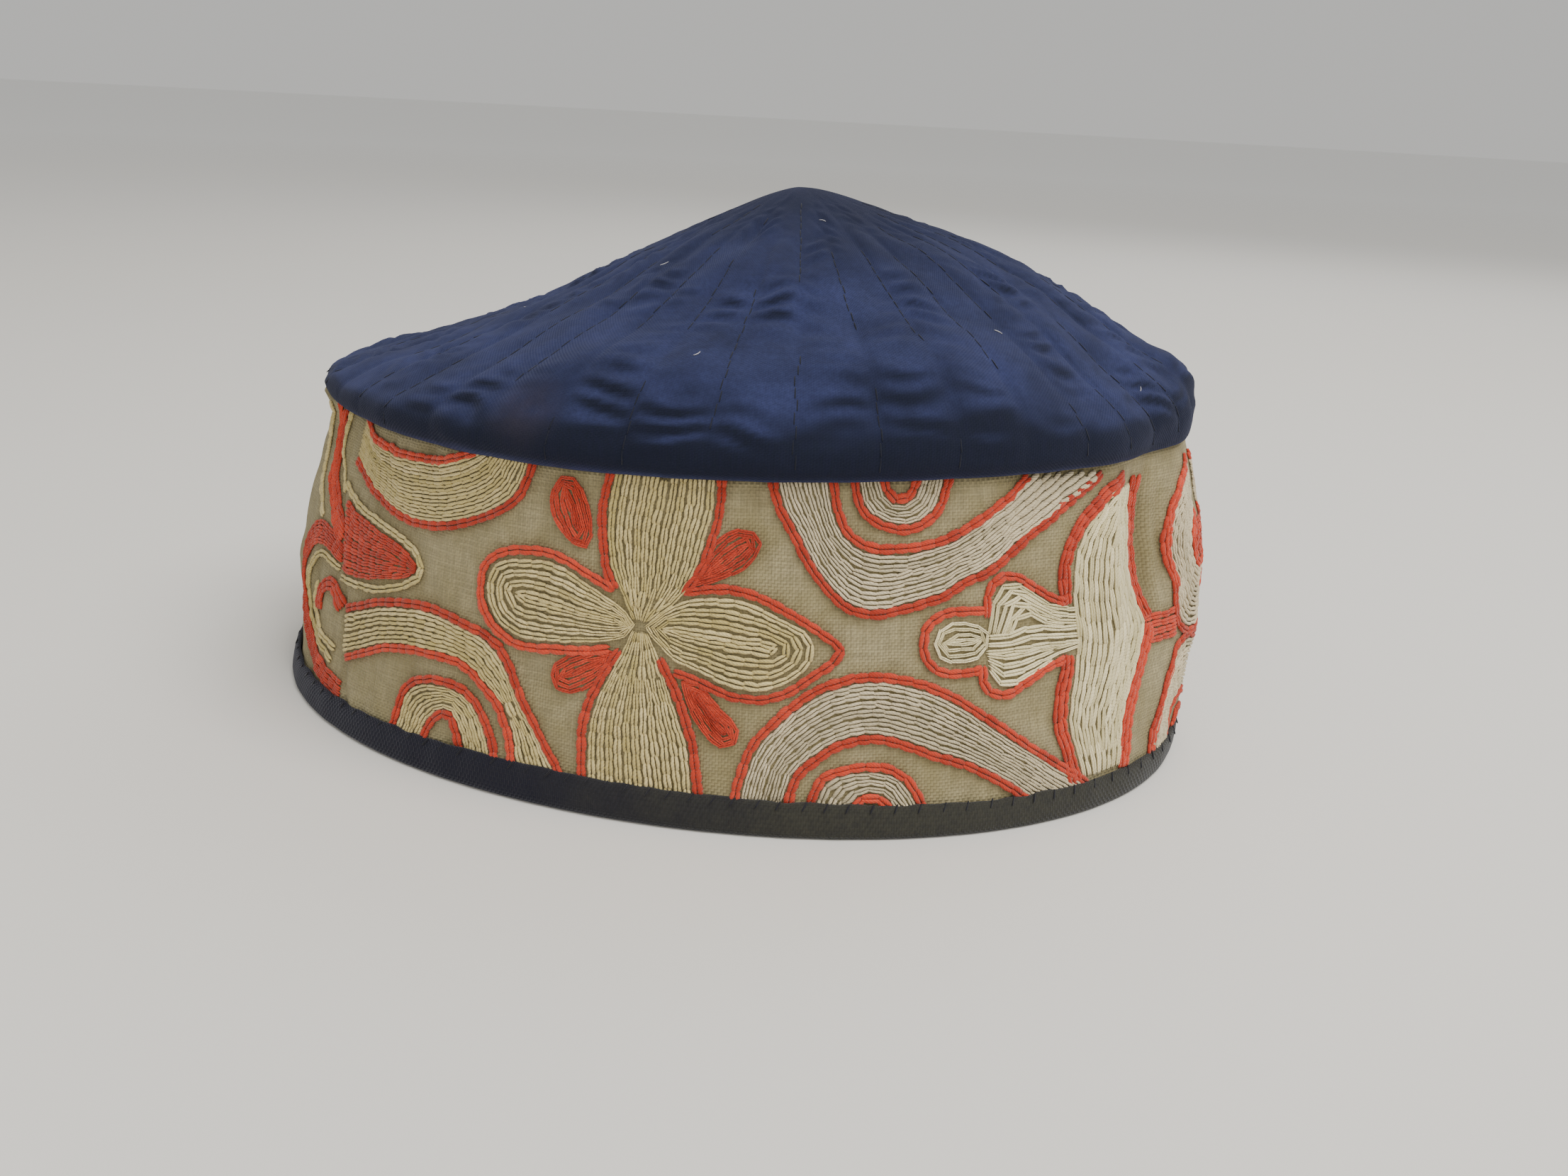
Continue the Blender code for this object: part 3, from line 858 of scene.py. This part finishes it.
def stitches_along(line, widths, rng, longer):
    """Places, directions, lengths and widths of the stitches along one row."""
    run = np.concatenate([[0], np.cumsum(np.linalg.norm(np.diff(line, axis=0), axis=1))])
    if run[-1] < 1.2:
        return None
    count = max(1, round(run[-1] / (sizes().stitch_length / MM * longer)))
    cuts = np.linspace(0, run[-1], count + 1)
    cuts[1:-1] += (rng.uniform(-0.42, 0.42) * run[-1] / count
                   + rng.uniform(-0.22, 0.22, count - 1))
    cuts = np.sort(np.clip(cuts, 0, run[-1]))
    ends = np.stack([np.interp(cuts, run, line[:, i]) for i in (0, 1)], 1)
    middle = (ends[1:] + ends[:-1]) / 2
    ahead = ends[1:] - ends[:-1]
    length = np.linalg.norm(ahead, axis=1)
    width = np.interp((cuts[1:] + cuts[:-1]) / 2, run, widths)
    return middle, np.arctan2(ahead[:, 1], ahead[:, 0]), length, width


def embroidery():
    """Every stitch on the band, by thread and by front or back. Made once."""
    if "stitches" in surfaces:
        return surfaces["stitches"]
    band = band_face()
    rng = np.random.default_rng(7)
    found = {}
    for place in PLACES:
        for motif in place.group:
            for thread, line, widths in rows_of(motif):
                longer = 1.0 if isinstance(motif, Ring) else LIES[thread].length
                made = stitches_along(line + np.array([place.round, 0]), widths, rng, longer)
                if made is None:
                    continue
                middle, angle, length, width = made
                n = len(angle)
                width = width * rng.uniform(0.90, 1.06, n)
                shade = np.clip(rng.normal(0.5, 0.16) + rng.normal(0, 0.10, n), 0, 1)
                angle = angle + rng.normal(0, 0.045, n)
                middle = middle + rng.normal(0, 0.05, (n, 2))
                lift = rng.normal(0, 0.04, n)
                top = seam_height(band.at(middle[:, 0], middle[:, 1])[0]) / MM
                keep = (middle[:, 1] < top + STITCH_UNDER_CROWN) & (middle[:, 1] > STITCH_FOOT)
                away = (middle[:, 0] + band.around / 2) % band.around - band.around / 2
                front = abs(away) < FRONT_REACH
                for side, here in (("front", front), ("back", ~front)):
                    pick = keep & here
                    rows = np.column_stack([middle, angle, length, width, shade, lift])[pick]
                    found.setdefault((thread, side), []).append(rows)
    surfaces["stitches"] = {key: np.vstack(rows) for key, rows in found.items()}
    return surfaces["stitches"]


def chain_stitches(name, rows, lie):
    """A joined mesh of chain stitches that lie on the band."""
    size = sizes()
    points, faces = strand_template(((-1, lie.bow, lie.thick), (1, lie.bow, lie.thick)), 4, 5)
    s0, z0, angle, length, width, shade, lift = rows.T
    along = points[None, :, 0] * (length * 1.30)[:, None]
    aside = points[None, :, 1] * (width * size.stitch_width / MM)[:, None]
    height = (points[None, :, 2] * 0.9 + 0.26) * size.stitch_height / MM
    height = height * np.clip(width, 0.75, 1.1)[:, None] + lift[:, None]
    height = height + 0.16 * np.cos(math.pi * points[None, :, 0])
    s = s0[:, None] + along * np.cos(angle)[:, None] - aside * np.sin(angle)[:, None]
    z = z0[:, None] + along * np.sin(angle)[:, None] + aside * np.cos(angle)[:, None]
    base, normal = band_face().at(s, z)
    uv = np.stack([along, np.broadcast_to(aside, along.shape)], -1)
    return joined(name, base + normal * height[..., None] * MM, faces, uv, shade)


# Materials


class Finish:
    """Builds a cloth or thread material from nodes."""

    def __init__(self, name, roughness, sheen=0.0, sheen_tint=(1, 1, 1)):
        self.material = bpy.data.materials.new(name)
        self.material.use_nodes = True
        self.tree = self.material.node_tree
        self.shader = self.tree.nodes["Principled BSDF"]
        self.shader.inputs["Roughness"].default_value = roughness
        self.shader.inputs["Sheen Weight"].default_value = sheen
        self.shader.inputs["Sheen Roughness"].default_value = 0.45
        self.shader.inputs["Sheen Tint"].default_value = (*sheen_tint, 1)
        self.shader.inputs["Specular IOR Level"].default_value = 0.25

    def put(self, kind, inputs=(), **settings):
        """A node with its settings, its inputs set or linked in order."""
        node = self.tree.nodes.new(kind)
        for key, value in settings.items():
            setattr(node, key, value)
        for key, value in dict(inputs).items():
            self.give(node.inputs[key], value)
        return node

    def give(self, socket, value):
        """Links an output to a socket, or sets the socket's own value."""
        if isinstance(value, bpy.types.NodeSocket):
            self.tree.links.new(value, socket)
        else:
            socket.default_value = value

    def maths(self, operation, a, b=0.0, c=0.0):
        """The result of one sum."""
        node = self.put("ShaderNodeMath", {0: a, 1: b, 2: c}, operation=operation)
        return node.outputs[0]

    def times(self, a, b):
        """One value multiplied by another."""
        return self.maths("MULTIPLY", a, b)

    def stored(self, name):
        """A value that the mesh keeps at each of its points."""
        return self.put("ShaderNodeAttribute", attribute_name=name,
                        attribute_type="GEOMETRY").outputs["Fac"]

    def uv(self):
        """The piece's own UV map."""
        return self.put("ShaderNodeUVMap", uv_map="UVMap").outputs["UV"]

    def parts(self, vector):
        """The three parts of a vector."""
        return self.put("ShaderNodeSeparateXYZ", {0: vector}).outputs[:]

    def noise(self, where, scale, detail=3.0, rough=0.55):
        """Cloudy noise from 0 to 1."""
        return self.put("ShaderNodeTexNoise", {
            "Vector": where, "Scale": scale, "Detail": detail, "Roughness": rough}).outputs["Fac"]

    def ramp(self, value, low, high, to_low=0.0, to_high=1.0):
        """A value moved from one range to another, and held within it."""
        node = self.put("ShaderNodeMapRange", {
            "Value": value, "From Min": low, "From Max": high, "To Min": to_low,
            "To Max": to_high})
        return node.outputs["Result"]

    def blend(self, share, a, b, how="MIX"):
        """Two colours mixed."""
        node = self.put("ShaderNodeMix", data_type="RGBA", blend_type=how)
        self.give(node.inputs["Factor"], share)
        self.give(node.inputs[6], a)
        self.give(node.inputs[7], b)
        return node.outputs[2]

    def here(self):
        """Object coordinates."""
        return self.put("ShaderNodeTexCoord").outputs["Object"]

    def chart(self, across, up):
        """The piece's own UV map, scaled so that it counts threads."""
        moved = self.put("ShaderNodeMapping", {"Vector": self.uv(), "Scale": (across, up, 1)})
        return moved.outputs["Vector"]

    def weave(self, threads):
        """Plain weave: warp shows over weft in every other cell. Gives height from 0 to 1."""
        warp, weft = (
            self.maths("ABSOLUTE", self.maths("SINE", self.times(part, math.pi)))
            for part in self.parts(threads)[:2])
        over = self.put("ShaderNodeTexChecker", {"Vector": threads, "Scale": 1.0}).outputs["Fac"]
        upper = self.times(over, warp)
        lower = self.times(self.maths("SUBTRACT", 1.0, over), weft)
        return self.maths("ADD", upper, lower)

    def bump(self, height, distance, strength=1.0, under=None):
        """Relief from a height, over an earlier one."""
        inputs = {"Height": height, "Distance": distance, "Strength": strength}
        if under is not None:
            inputs["Normal"] = under
        return self.put("ShaderNodeBump", inputs).outputs["Normal"]

    def wear(self, base, normal):
        """Gives the shader its colour and its relief."""
        self.give(self.shader.inputs["Base Color"], base)
        self.give(self.shader.inputs["Normal"], normal)
        return self.material


def band_finish():
    """Khaki plain weave with slubs and faint staining, with painted shade in its folds and between its
    threads, and painted shade and some dirt by the thread.
    """
    f = Finish("khaki_plain_weave", 0.92, 0.12, (0.9, 0.85, 0.7))
    around = band_face().around
    pitch = sizes().weave_pitch / MM
    threads = f.chart(around / pitch, 60 / pitch)
    weave = f.weave(threads)
    where = f.here()
    slub_wide = f.noise(f.chart(around / 6, 60 / pitch), 1.0, 2.0)
    slub_tall = f.noise(f.chart(around / pitch, 60 / 6), 1.0, 2.0)
    slubs = f.maths("ADD", slub_wide, slub_tall)
    base = colour("cloth")
    cloth = f.blend(f.ramp(slubs, 0.75, 1.25), shaded(base, 0.76), shaded(base, 1.14))
    stain = f.ramp(f.noise(where, 75, 5.0, 0.65), 0.38, 0.68)
    cloth = f.blend(f.times(stain, 0.60), cloth, shaded(base, 0.62, 0.60, 0.44))
    # Painted shade in the folds and by the thread, with some dirt by the thread.
    cloth = f.blend(f.times(f.stored("painted_shade_and_soil"), 0.62), cloth, shaded(base, 0.40, 0.36, 0.26))
    # Painted shade in the hollows between the weave's threads.
    cloth = f.blend(f.ramp(weave, 0.0, 0.45, 0.32, 0.0), cloth, shaded(base, 0.45))
    normal = f.bump(weave, 0.00020, 0.7)
    normal = f.bump(slubs, 0.00012, 0.6, normal)
    return f.wear(cloth, normal)


def thread_finish(name, thread, darker):
    """Twisted embroidery thread that varies from stitch to stitch, down to a darker tone."""
    f = Finish(name, 0.78, 0.22, (1, 0.96, 0.9))
    base = colour(thread)
    dark = shaded(base, *darker)
    tone = f.blend(f.ramp(f.stored("shade"), 0.15, 0.85), dark, shaded(base, 1.18))
    where = f.here()
    grime = f.ramp(f.noise(where, 70, 4.0), 0.35, 0.8)
    tone = f.blend(f.times(grime, 0.30), tone, dark)
    along, aside = f.parts(f.uv())[:2]
    slant = f.maths("ADD", f.times(along, 9.0), f.times(aside, 14.0))
    twist = f.maths("ADD", f.times(f.maths("SINE", slant), 0.5), 0.5)
    tone = f.blend(f.times(twist, 0.22), tone, dark)
    fibre = f.noise(where, 2600, 2.0)
    normal = f.bump(twist, 0.00010, 0.8)
    normal = f.bump(fibre, 0.00012, 0.6, normal)
    return f.wear(tone, normal)


def crown_finish():
    """Navy cotton, lighter where it faces up, partly faded and partly painted light from above, with a
    fine upright weave.
    """
    f = Finish("navy_quilted_cotton", 0.95, 0.09, (0.42, 0.47, 0.85))
    where = f.here()
    cloud = f.ramp(f.noise(where, 70, 4.0, 0.62), 0.32, 0.66)
    # The lighter navy stands for faded cloth and for painted light from above.
    share = f.times(f.stored("fade_and_painted_top_light"), f.maths("ADD", 0.36, f.times(cloud, 0.64)))
    tone = f.blend(share, colour("crown"), colour("crown_faded_and_lit"))
    fine = f.put("ShaderNodeMapping", {"Vector": where, "Scale": (1, 1, 0.16)}).outputs["Vector"]
    streak = f.ramp(f.noise(fine, 1500, 2.0), 0.30, 0.70)
    tone = f.blend(f.times(streak, 0.35), tone, (0.008, 0.009, 0.030, 1))
    stain_at = f.put("ShaderNodeMapping", {
        "Vector": where, "Location": (0.020, 0.066, -0.073)}).outputs["Vector"]
    far = f.put("ShaderNodeVectorMath", {0: stain_at}, operation="LENGTH").outputs["Value"]
    stain = f.times(f.ramp(far, 0.002, 0.009, 1.0, 0.0), f.noise(where, 260, 3.0))
    tone = f.blend(f.times(stain, 0.35), tone, (0.070, 0.050, 0.058, 1))
    weave = f.weave(f.chart(1150, 300))
    normal = f.bump(weave, 0.00010, 0.55)
    normal = f.bump(f.noise(where, 420, 3.0), 0.00030, 0.45, normal)
    return f.wear(tone, normal)


def binding_finish():
    """Navy-black cotton that has faded to charcoal towards the pinched end."""
    f = Finish("bound_edge_cotton", 0.85, 0.20, (0.6, 0.62, 0.7))
    where = f.here()
    uneven = f.times(f.maths("SUBTRACT", f.noise(where, 90, 4.0), 0.5), 0.05)
    share = f.ramp(f.maths("ADD", f.parts(where)[0], uneven), -0.020, 0.040)
    tone = f.blend(share, colour("binding"), colour("binding_faded"))
    speck = f.ramp(f.noise(where, 900, 2.0), 0.35, 0.72)
    tone = f.blend(f.times(speck, 0.35), tone, (0.006, 0.006, 0.012, 1))
    weave = f.weave(f.chart(1100, 40))
    normal = f.bump(weave, 0.00014, 0.7)
    return f.wear(tone, normal)


def plain_thread(name, tone):
    """Fine sewing thread."""
    f = Finish(name, 0.7, 0.1)
    where = f.here()
    speck = f.ramp(f.noise(where, 1400, 2.0), 0.3, 0.7)
    fibre = f.bump(f.noise(where, 3000, 2.0), 0.00006, 0.6)
    return f.wear(f.blend(speck, tone, shaded(tone, 0.6)), fibre)


def floor_finish():
    """A plain pale floor with the faintest grain, lighter far away so that it meets the sky."""
    f = Finish("pale_floor", 0.95)
    base = colour("floor")
    where = f.here()
    far = f.put("ShaderNodeVectorMath", {0: where}, operation="LENGTH").outputs["Value"]
    tone = f.blend(f.noise(where, 9, 2.0), base, shaded(base, 0.985))
    tone = f.blend(f.ramp(far, 0.7, 3.2), tone, (0.90, 0.90, 0.89, 1))
    return f.wear(tone, f.bump(f.noise(where, 180), 0.0001, 0.1))


def dress(piece, material, slot, *nodes):
    """Gives a piece its material and its body, and hides the CAD nodes that it stands for. Its slot is
    not used.
    """
    piece.data.materials.append(material)
    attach(piece, "root")
    if nodes:
        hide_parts(*nodes)


class SKULLCAP_OT_band(bpy.types.Operator):
    """Makes the band's khaki cloth, from inside the binding to under the crown"""

    bl_idname = "skullcap.band"
    bl_label = "Band cloth"

    def execute(self, context):
        band = band_face()

        def place(round_share, up_share):
            s = round_share * band.around
            foot, _ = band.at(s, np.full_like(s, 3.0))
            top = seam_height(foot) / MM + 0.9
            z = 3.0 + (top - 3.0) * up_share
            return band.at(s, z)[0]

        piece = rolled("band_cloth_piece", 560, 58, place)
        # Painted shade in the folds and by the thread, with some dirt by the thread, stored on each
        # point of the cloth.
        spots = np.array([vert.co[:] for vert in piece.data.vertices])
        painted_shade_and_soil = piece.data.attributes.new("painted_shade_and_soil", "FLOAT", "POINT")
        painted_shade_and_soil.data.foreach_set("value", band.painted_shade_and_soil(spots).astype(np.float32))
        wall(piece, sizes().cloth_wall)
        dress(piece, band_finish(), "band_cloth", "band")
        return {"FINISHED"}


class SKULLCAP_OT_embroidery(bpy.types.Operator):
    """Covers the band with chain stitch in cream, ivory, pale and coral thread"""

    bl_idname = "skullcap.embroidery"
    bl_label = "Chain-stitch embroidery"

    def execute(self, context):
        finishes = {
            "cream": thread_finish("cream_thread", "cream", (0.78, 0.76, 0.56)),
            "ivory": thread_finish("ivory_thread", "ivory", (0.80, 0.78, 0.66)),
            "pale": thread_finish("pale_thread", "pale", (0.76, 0.76, 0.72)),
            "coral": thread_finish("coral_thread", "coral", (0.62, 0.48, 0.48)),
        }
        for (thread, side), rows in sorted(embroidery().items()):
            piece = chain_stitches("chain_stitch_%s_%s" % (thread, side), rows, LIES[thread])
            dress(piece, finishes[thread], "band_cloth")
        return {"FINISHED"}


class SKULLCAP_OT_crown(bpy.types.Operator):
    """Makes the quilted crown"""

    bl_idname = "skullcap.crown"
    bl_label = "Quilted crown"

    def execute(self, context):
        crown = crown_face()
        channels = sizes().channels

        def place(round_share, up_share):
            return crown.at(round_share * channels, up_share)[0]

        piece = rolled("quilted_crown", crown.COLUMNS, crown.ROWS - 1, place)
        co = np.empty(len(piece.data.vertices) * 3)
        piece.data.vertices.foreach_get("co", co)
        height = co.reshape(-1, 3)[:, 2]
        facing = np.empty(len(co))
        piece.data.vertices.foreach_get("normal", facing)
        # Lighter where the crown faces up, partly faded cloth and partly painted light from above,
        # which leaves painted shade on the steep lower parts; darker towards the point.
        level = np.clip((np.abs(facing.reshape(-1, 3)[:, 2]) - 0.46) / 0.36, 0, 1)
        point = 1 - np.clip((height - 0.095) / 0.014, 0, 1) * 0.75
        fade_and_painted_top_light = piece.data.attributes.new("fade_and_painted_top_light", "FLOAT", "POINT")
        fade_and_painted_top_light.data.foreach_set("value", (level * level * (3 - 2 * level) * point).astype(np.float32))
        wall(piece, sizes().crown_wall)
        dress(piece, crown_finish(), "crown_cloth", "crown")
        return {"FINISHED"}


class SKULLCAP_OT_quilting(bpy.types.Operator):
    """Sews the dark thread along the crown's channels"""

    bl_idname = "skullcap.quilting"
    bl_label = "Quilting thread"

    def execute(self, context):
        crown = crown_face()
        rng = np.random.default_rng(11)
        starts, channels = [], []
        for channel in range(sizes().channels):
            stop = 0.88 if channel % 4 == 0 else 0.80 if channel % 2 == 0 else 0.70
            steps = np.arange(0.045, stop, 0.030) + rng.uniform(0, 0.012)
            steps = steps[np.sin(steps * rng.uniform(9, 16) + rng.uniform(0, 6.3)) > -0.35]
            starts.append(steps)
            channels.append(np.full(len(steps), channel) + rng.normal(0, 0.015, len(steps)))
        share, channel = np.concatenate(starts), np.concatenate(channels)
        here, normal = crown.at(channel, share)
        ahead, _ = crown.at(channel, share + 0.01)
        piece = laid("quilting_thread", here, unit(ahead - here), normal,
                     length=0.0027, thick=0.00030, lift=-0.00002, rng=rng)
        dress(piece, plain_thread("dark_quilting_thread", (0.006, 0.008, 0.019, 1)), "crown_cloth")
        return {"FINISHED"}


class SKULLCAP_OT_binding(bpy.types.Operator):
    """Folds the dark binding round the rim"""

    bl_idname = "skullcap.binding"
    bl_label = "Rim binding"

    COLUMNS = 480
    # Heights at which the CAD's outer and inner faces are met, in metres.
    OUTER = (0.0011, 0.0048)
    INNER = (0.0015, 0.0040)
    # How far in from the outer face its upper edge is looked for, and where it is if no ray
    # meets it.
    LIP = 0.0004
    USUAL_TOP = 0.0078
    # How far the folded cloth stands above that edge.
    EDGE_RISE = 0.0006

    def execute(self, context):
        tree = tree_of("rim_binding")
        turns = FRONT + np.arange(self.COLUMNS) * 2 * math.pi / self.COLUMNS
        heights = np.linspace(*self.OUTER, 4)
        outer = np.empty((self.COLUMNS, 4))
        inner = np.empty((self.COLUMNS, 2))
        top = np.empty(self.COLUMNS)
        for i, turn in enumerate(turns):
            out = Vector((math.cos(turn), math.sin(turn), 0))
            for j, height in enumerate(heights):
                hit = tree.ray_cast(out * AFAR + Vector((0, 0, height)), -out)[0]
                outer[i, j] = math.hypot(hit.x, hit.y)
            for j, height in enumerate(self.INNER):
                hit = tree.ray_cast(Vector((0, 0, height)), out)[0]
                inner[i, j] = math.hypot(hit.x, hit.y)
            lip = out * (outer[i, 2] - self.LIP)
            hit = tree.ray_cast(lip + Vector((0, 0, 0.03)), Vector((0, 0, -1)))[0]
            top[i] = hit.z if hit is not None else self.USUAL_TOP
        outer, inner = soften(outer, 4, 0, True), soften(inner, 4, 0, True)
        top = soften(top, 6, 0, True) + self.EDGE_RISE
        slope = (outer[:, 3] - outer[:, 0]) / np.ptp(self.OUTER)
        foot = outer[:, 0] - slope * self.OUTER[0]
        inner_slope = (inner[:, 1] - inner[:, 0]) / np.ptp(self.INNER)
        inner_foot = inner[:, 0] - inner_slope * self.INNER[0]
        around = band_face().around
        s = np.arange(self.COLUMNS) / self.COLUMNS * around
        uneven = ripples(s, s * 0, 31, 7, around) * 0.00022
        tucks = ripples(s, s * 0, 32, 9, around) * 0.00016

        # Share up the outside or the inside, how far in from its face, and which side.
        section = (
            (0.60, 1.2, "out"), (0.94, 1.2, "out"), (1.03, 0.95, "out"), (1.04, 0.60, "out"),
            (1.00, 0.24, "out"), (0.90, 0.02, "out"), (0.70, -0.14, "out"), (0.45, -0.16, "out"),
            (0.24, -0.02, "out"), (0.10, 0.24, "out"), (0.03, 0.80, "out"), (0.0, 1.6, "out"),
            (0.0, 1.6, "in"), (0.03, 0.80, "in"), (0.12, 0.20, "in"), (0.40, 0.0, "in"),
            (0.75, 0.0, "in"), (0.93, 0.12, "in"), (1.0, 0.50, "in"), (0.97, 0.95, "in"),
            (0.90, 1.2, "in"), (0.60, 1.2, "in"), (0.28, 1.2, "in"), (0.25, 1.2, "out"),
        )
        rings = []
        for up, inward, side in section:
            height = up * (top + uneven if side == "out" else top - self.EDGE_RISE)
            if side == "out":
                radius = foot + slope * height - inward * MM + tucks * min(1.0, up * 2)
            else:
                radius = inner_foot + inner_slope * height + inward * MM
            rings.append(np.stack([radius * np.cos(turns), radius * np.sin(turns), height], 1))
        table = np.stack(rings + rings[:1], 1)

        def place(round_share, up_share):
            return look_up(table, round_share * self.COLUMNS, up_share * len(section))

        piece = rolled("folded_binding", self.COLUMNS, len(section), place, closes_up=True)
        bm = bmesh.new()
        bm.from_mesh(piece.data)
        bmesh.ops.remove_doubles(bm, verts=bm.verts, dist=2e-6)
        bmesh.ops.recalc_face_normals(bm, faces=bm.faces)
        bm.to_mesh(piece.data)
        bm.free()
        dress(piece, binding_finish(), "binding_cloth", "rim_binding")
        self.sew(foot, slope, top, turns)
        return {"FINISHED"}

    def sew(self, foot, slope, top, turns):
        """Small stitches that hold the binding's upper edge down."""
        rng = np.random.default_rng(15)
        picks = np.arange(0, self.COLUMNS, 4)
        turn = turns[picks] + rng.normal(0, 0.003, len(picks))
        height = top[picks] * 0.96
        radius = foot[picks] + slope[picks] * height - 0.0002
        here = np.stack([radius * np.cos(turn), radius * np.sin(turn), height], 1)
        out = np.stack([np.cos(turn), np.sin(turn), np.full(len(turn), 0.5)], 1)
        normal = unit(out)
        along = unit(np.stack([-np.sin(turn) * 0.55, np.cos(turn) * 0.55, np.ones(len(turn))], 1)
                     - normal * 0.45)
        piece = laid("binding_stitches", here, along, normal,
                     length=0.0021, thick=0.0004, lift=0.00004, rng=rng)
        dress(piece, plain_thread("black_sewing_thread", (0.014, 0.014, 0.020, 1)), "binding_cloth")


class SKULLCAP_OT_lint(bpy.types.Operator):
    """Drops a few pale flecks of fluff on the crown"""

    bl_idname = "skullcap.lint"
    bl_label = "Lint"

    def execute(self, context):
        crown = crown_face()
        rng = np.random.default_rng(19)
        spots = np.array(LINT)
        here, normal = crown.at(spots[:, 0], spots[:, 1])
        spin = rng.uniform(0, math.pi, len(spots))
        level = unit(np.cross(normal, np.array([0, 0, 1.0])))
        steep = np.cross(normal, level)
        along = level * np.cos(spin)[:, None] + steep * np.sin(spin)[:, None]
        length = rng.uniform(0.0012, 0.0026, len(spots))[:, None, None]
        piece = laid("lint", here, along, normal, length=length, thick=0.00022, lift=0.00010,
                     rng=rng, rings=8, curl=0.12)
        dress(piece, plain_thread("pale_lint", (0.42, 0.41, 0.44, 1)), "crown_cloth")
        return {"FINISHED"}


class SKULLCAP_OT_stage(bpy.types.Operator):
    """Sets the floor, the lights and the camera"""

    bl_idname = "skullcap.stage"
    bl_label = "Stage"

    EYE = (0.0891, -0.3055, 0.1284)
    TURN, DOWN, ROLL = 14.0, 18.38, 3.08

    def execute(self, context):
        bm = bmesh.new()
        bmesh.ops.create_circle(bm, cap_ends=True, segments=96, radius=14.0)
        floor = finish("floor", bm)
        floor.data.materials.append(floor_finish())

        turn, down, roll = (math.radians(a) for a in (self.TURN, self.DOWN, self.ROLL))
        look = Vector((-math.sin(turn) * math.cos(down), math.cos(turn) * math.cos(down),
                       -math.sin(down)))
        right = Vector((math.cos(turn), math.sin(turn), 0))
        up = right.cross(look)
        tilted = right * math.cos(roll) + up * math.sin(roll)
        upright = -right * math.sin(roll) + up * math.cos(roll)
        data = bpy.data.cameras.new("camera")
        data.lens, data.sensor_width, data.sensor_fit = sizes().camera_lens, 36.0, "HORIZONTAL"
        data.clip_start = 0.01
        camera = bpy.data.objects.new("camera", data)
        camera.matrix_world = Matrix.Translation(self.EYE) @ Matrix(
            (tilted, upright, -look)).transposed().to_4x4()
        context.scene.collection.objects.link(camera)
        context.scene.camera = camera

        self.light("key_light", (0.60, -0.30, 1.15), 0.8, 16.0, (1.0, 0.98, 0.95))
        self.light("fill_light", (0.25, -1.1, 0.5), 1.1, 4.0, (1.0, 0.98, 0.94))
        self.light("back_light", (0.2, 1.0, 0.9), 1.0, 4.0, (1.0, 0.99, 0.97))
        world = bpy.data.worlds.new("studio")
        world.use_nodes = True
        world.node_tree.nodes["Background"].inputs["Color"].default_value = (0.92, 0.91, 0.88, 1)
        world.node_tree.nodes["Background"].inputs["Strength"].default_value = 0.62
        context.scene.world = world
        return {"FINISHED"}

    def light(self, name, place, size, power, tone):
        """A soft square light that looks at the cap."""
        data = bpy.data.lights.new(name, "AREA")
        data.size, data.energy, data.color = size, power, tone
        made = bpy.data.objects.new(name, data)
        made.location = place
        aim = Vector((0, 0, 0.05)) - Vector(place)
        made.rotation_euler = aim.to_track_quat("-Z", "Y").to_euler()
        bpy.context.scene.collection.objects.link(made)


class SKULLCAP_PT_panel(bpy.types.Panel):
    """Lists the sizes, the colours and the pieces"""

    bl_idname = "SKULLCAP_PT_panel"
    bl_label = "Embroidered skullcap"
    bl_space_type = "VIEW_3D"
    bl_region_type = "UI"
    bl_category = "Skullcap"

    def draw(self, context):
        column = self.layout.column()
        for group in (context.scene.skullcap_sizes, context.scene.skullcap_colours):
            for key in group.__annotations__:
                column.prop(group, key)
        for operator in OPERATORS:
            column.operator(operator.bl_idname)


OPERATORS = (
    SKULLCAP_OT_stage,
    SKULLCAP_OT_band,
    SKULLCAP_OT_embroidery,
    SKULLCAP_OT_crown,
    SKULLCAP_OT_quilting,
    SKULLCAP_OT_binding,
    SKULLCAP_OT_lint,
)
CLASSES = (SkullcapSizes, SkullcapColours, *OPERATORS, SKULLCAP_PT_panel)


def register():
    for each in CLASSES:
        bpy.utils.register_class(each)
    bpy.types.Scene.skullcap_sizes = PointerProperty(type=SkullcapSizes)
    bpy.types.Scene.skullcap_colours = PointerProperty(type=SkullcapColours)


def unregister():
    del bpy.types.Scene.skullcap_colours
    del bpy.types.Scene.skullcap_sizes
    for each in reversed(CLASSES):
        bpy.utils.unregister_class(each)


def main():
    register()
    bpy.ops.skullcap.stage()
    bpy.ops.skullcap.band()
    bpy.ops.skullcap.embroidery()
    bpy.ops.skullcap.crown()
    bpy.ops.skullcap.quilting()
    bpy.ops.skullcap.binding()
    bpy.ops.skullcap.lint()


if __name__ == "__main__":
    main()
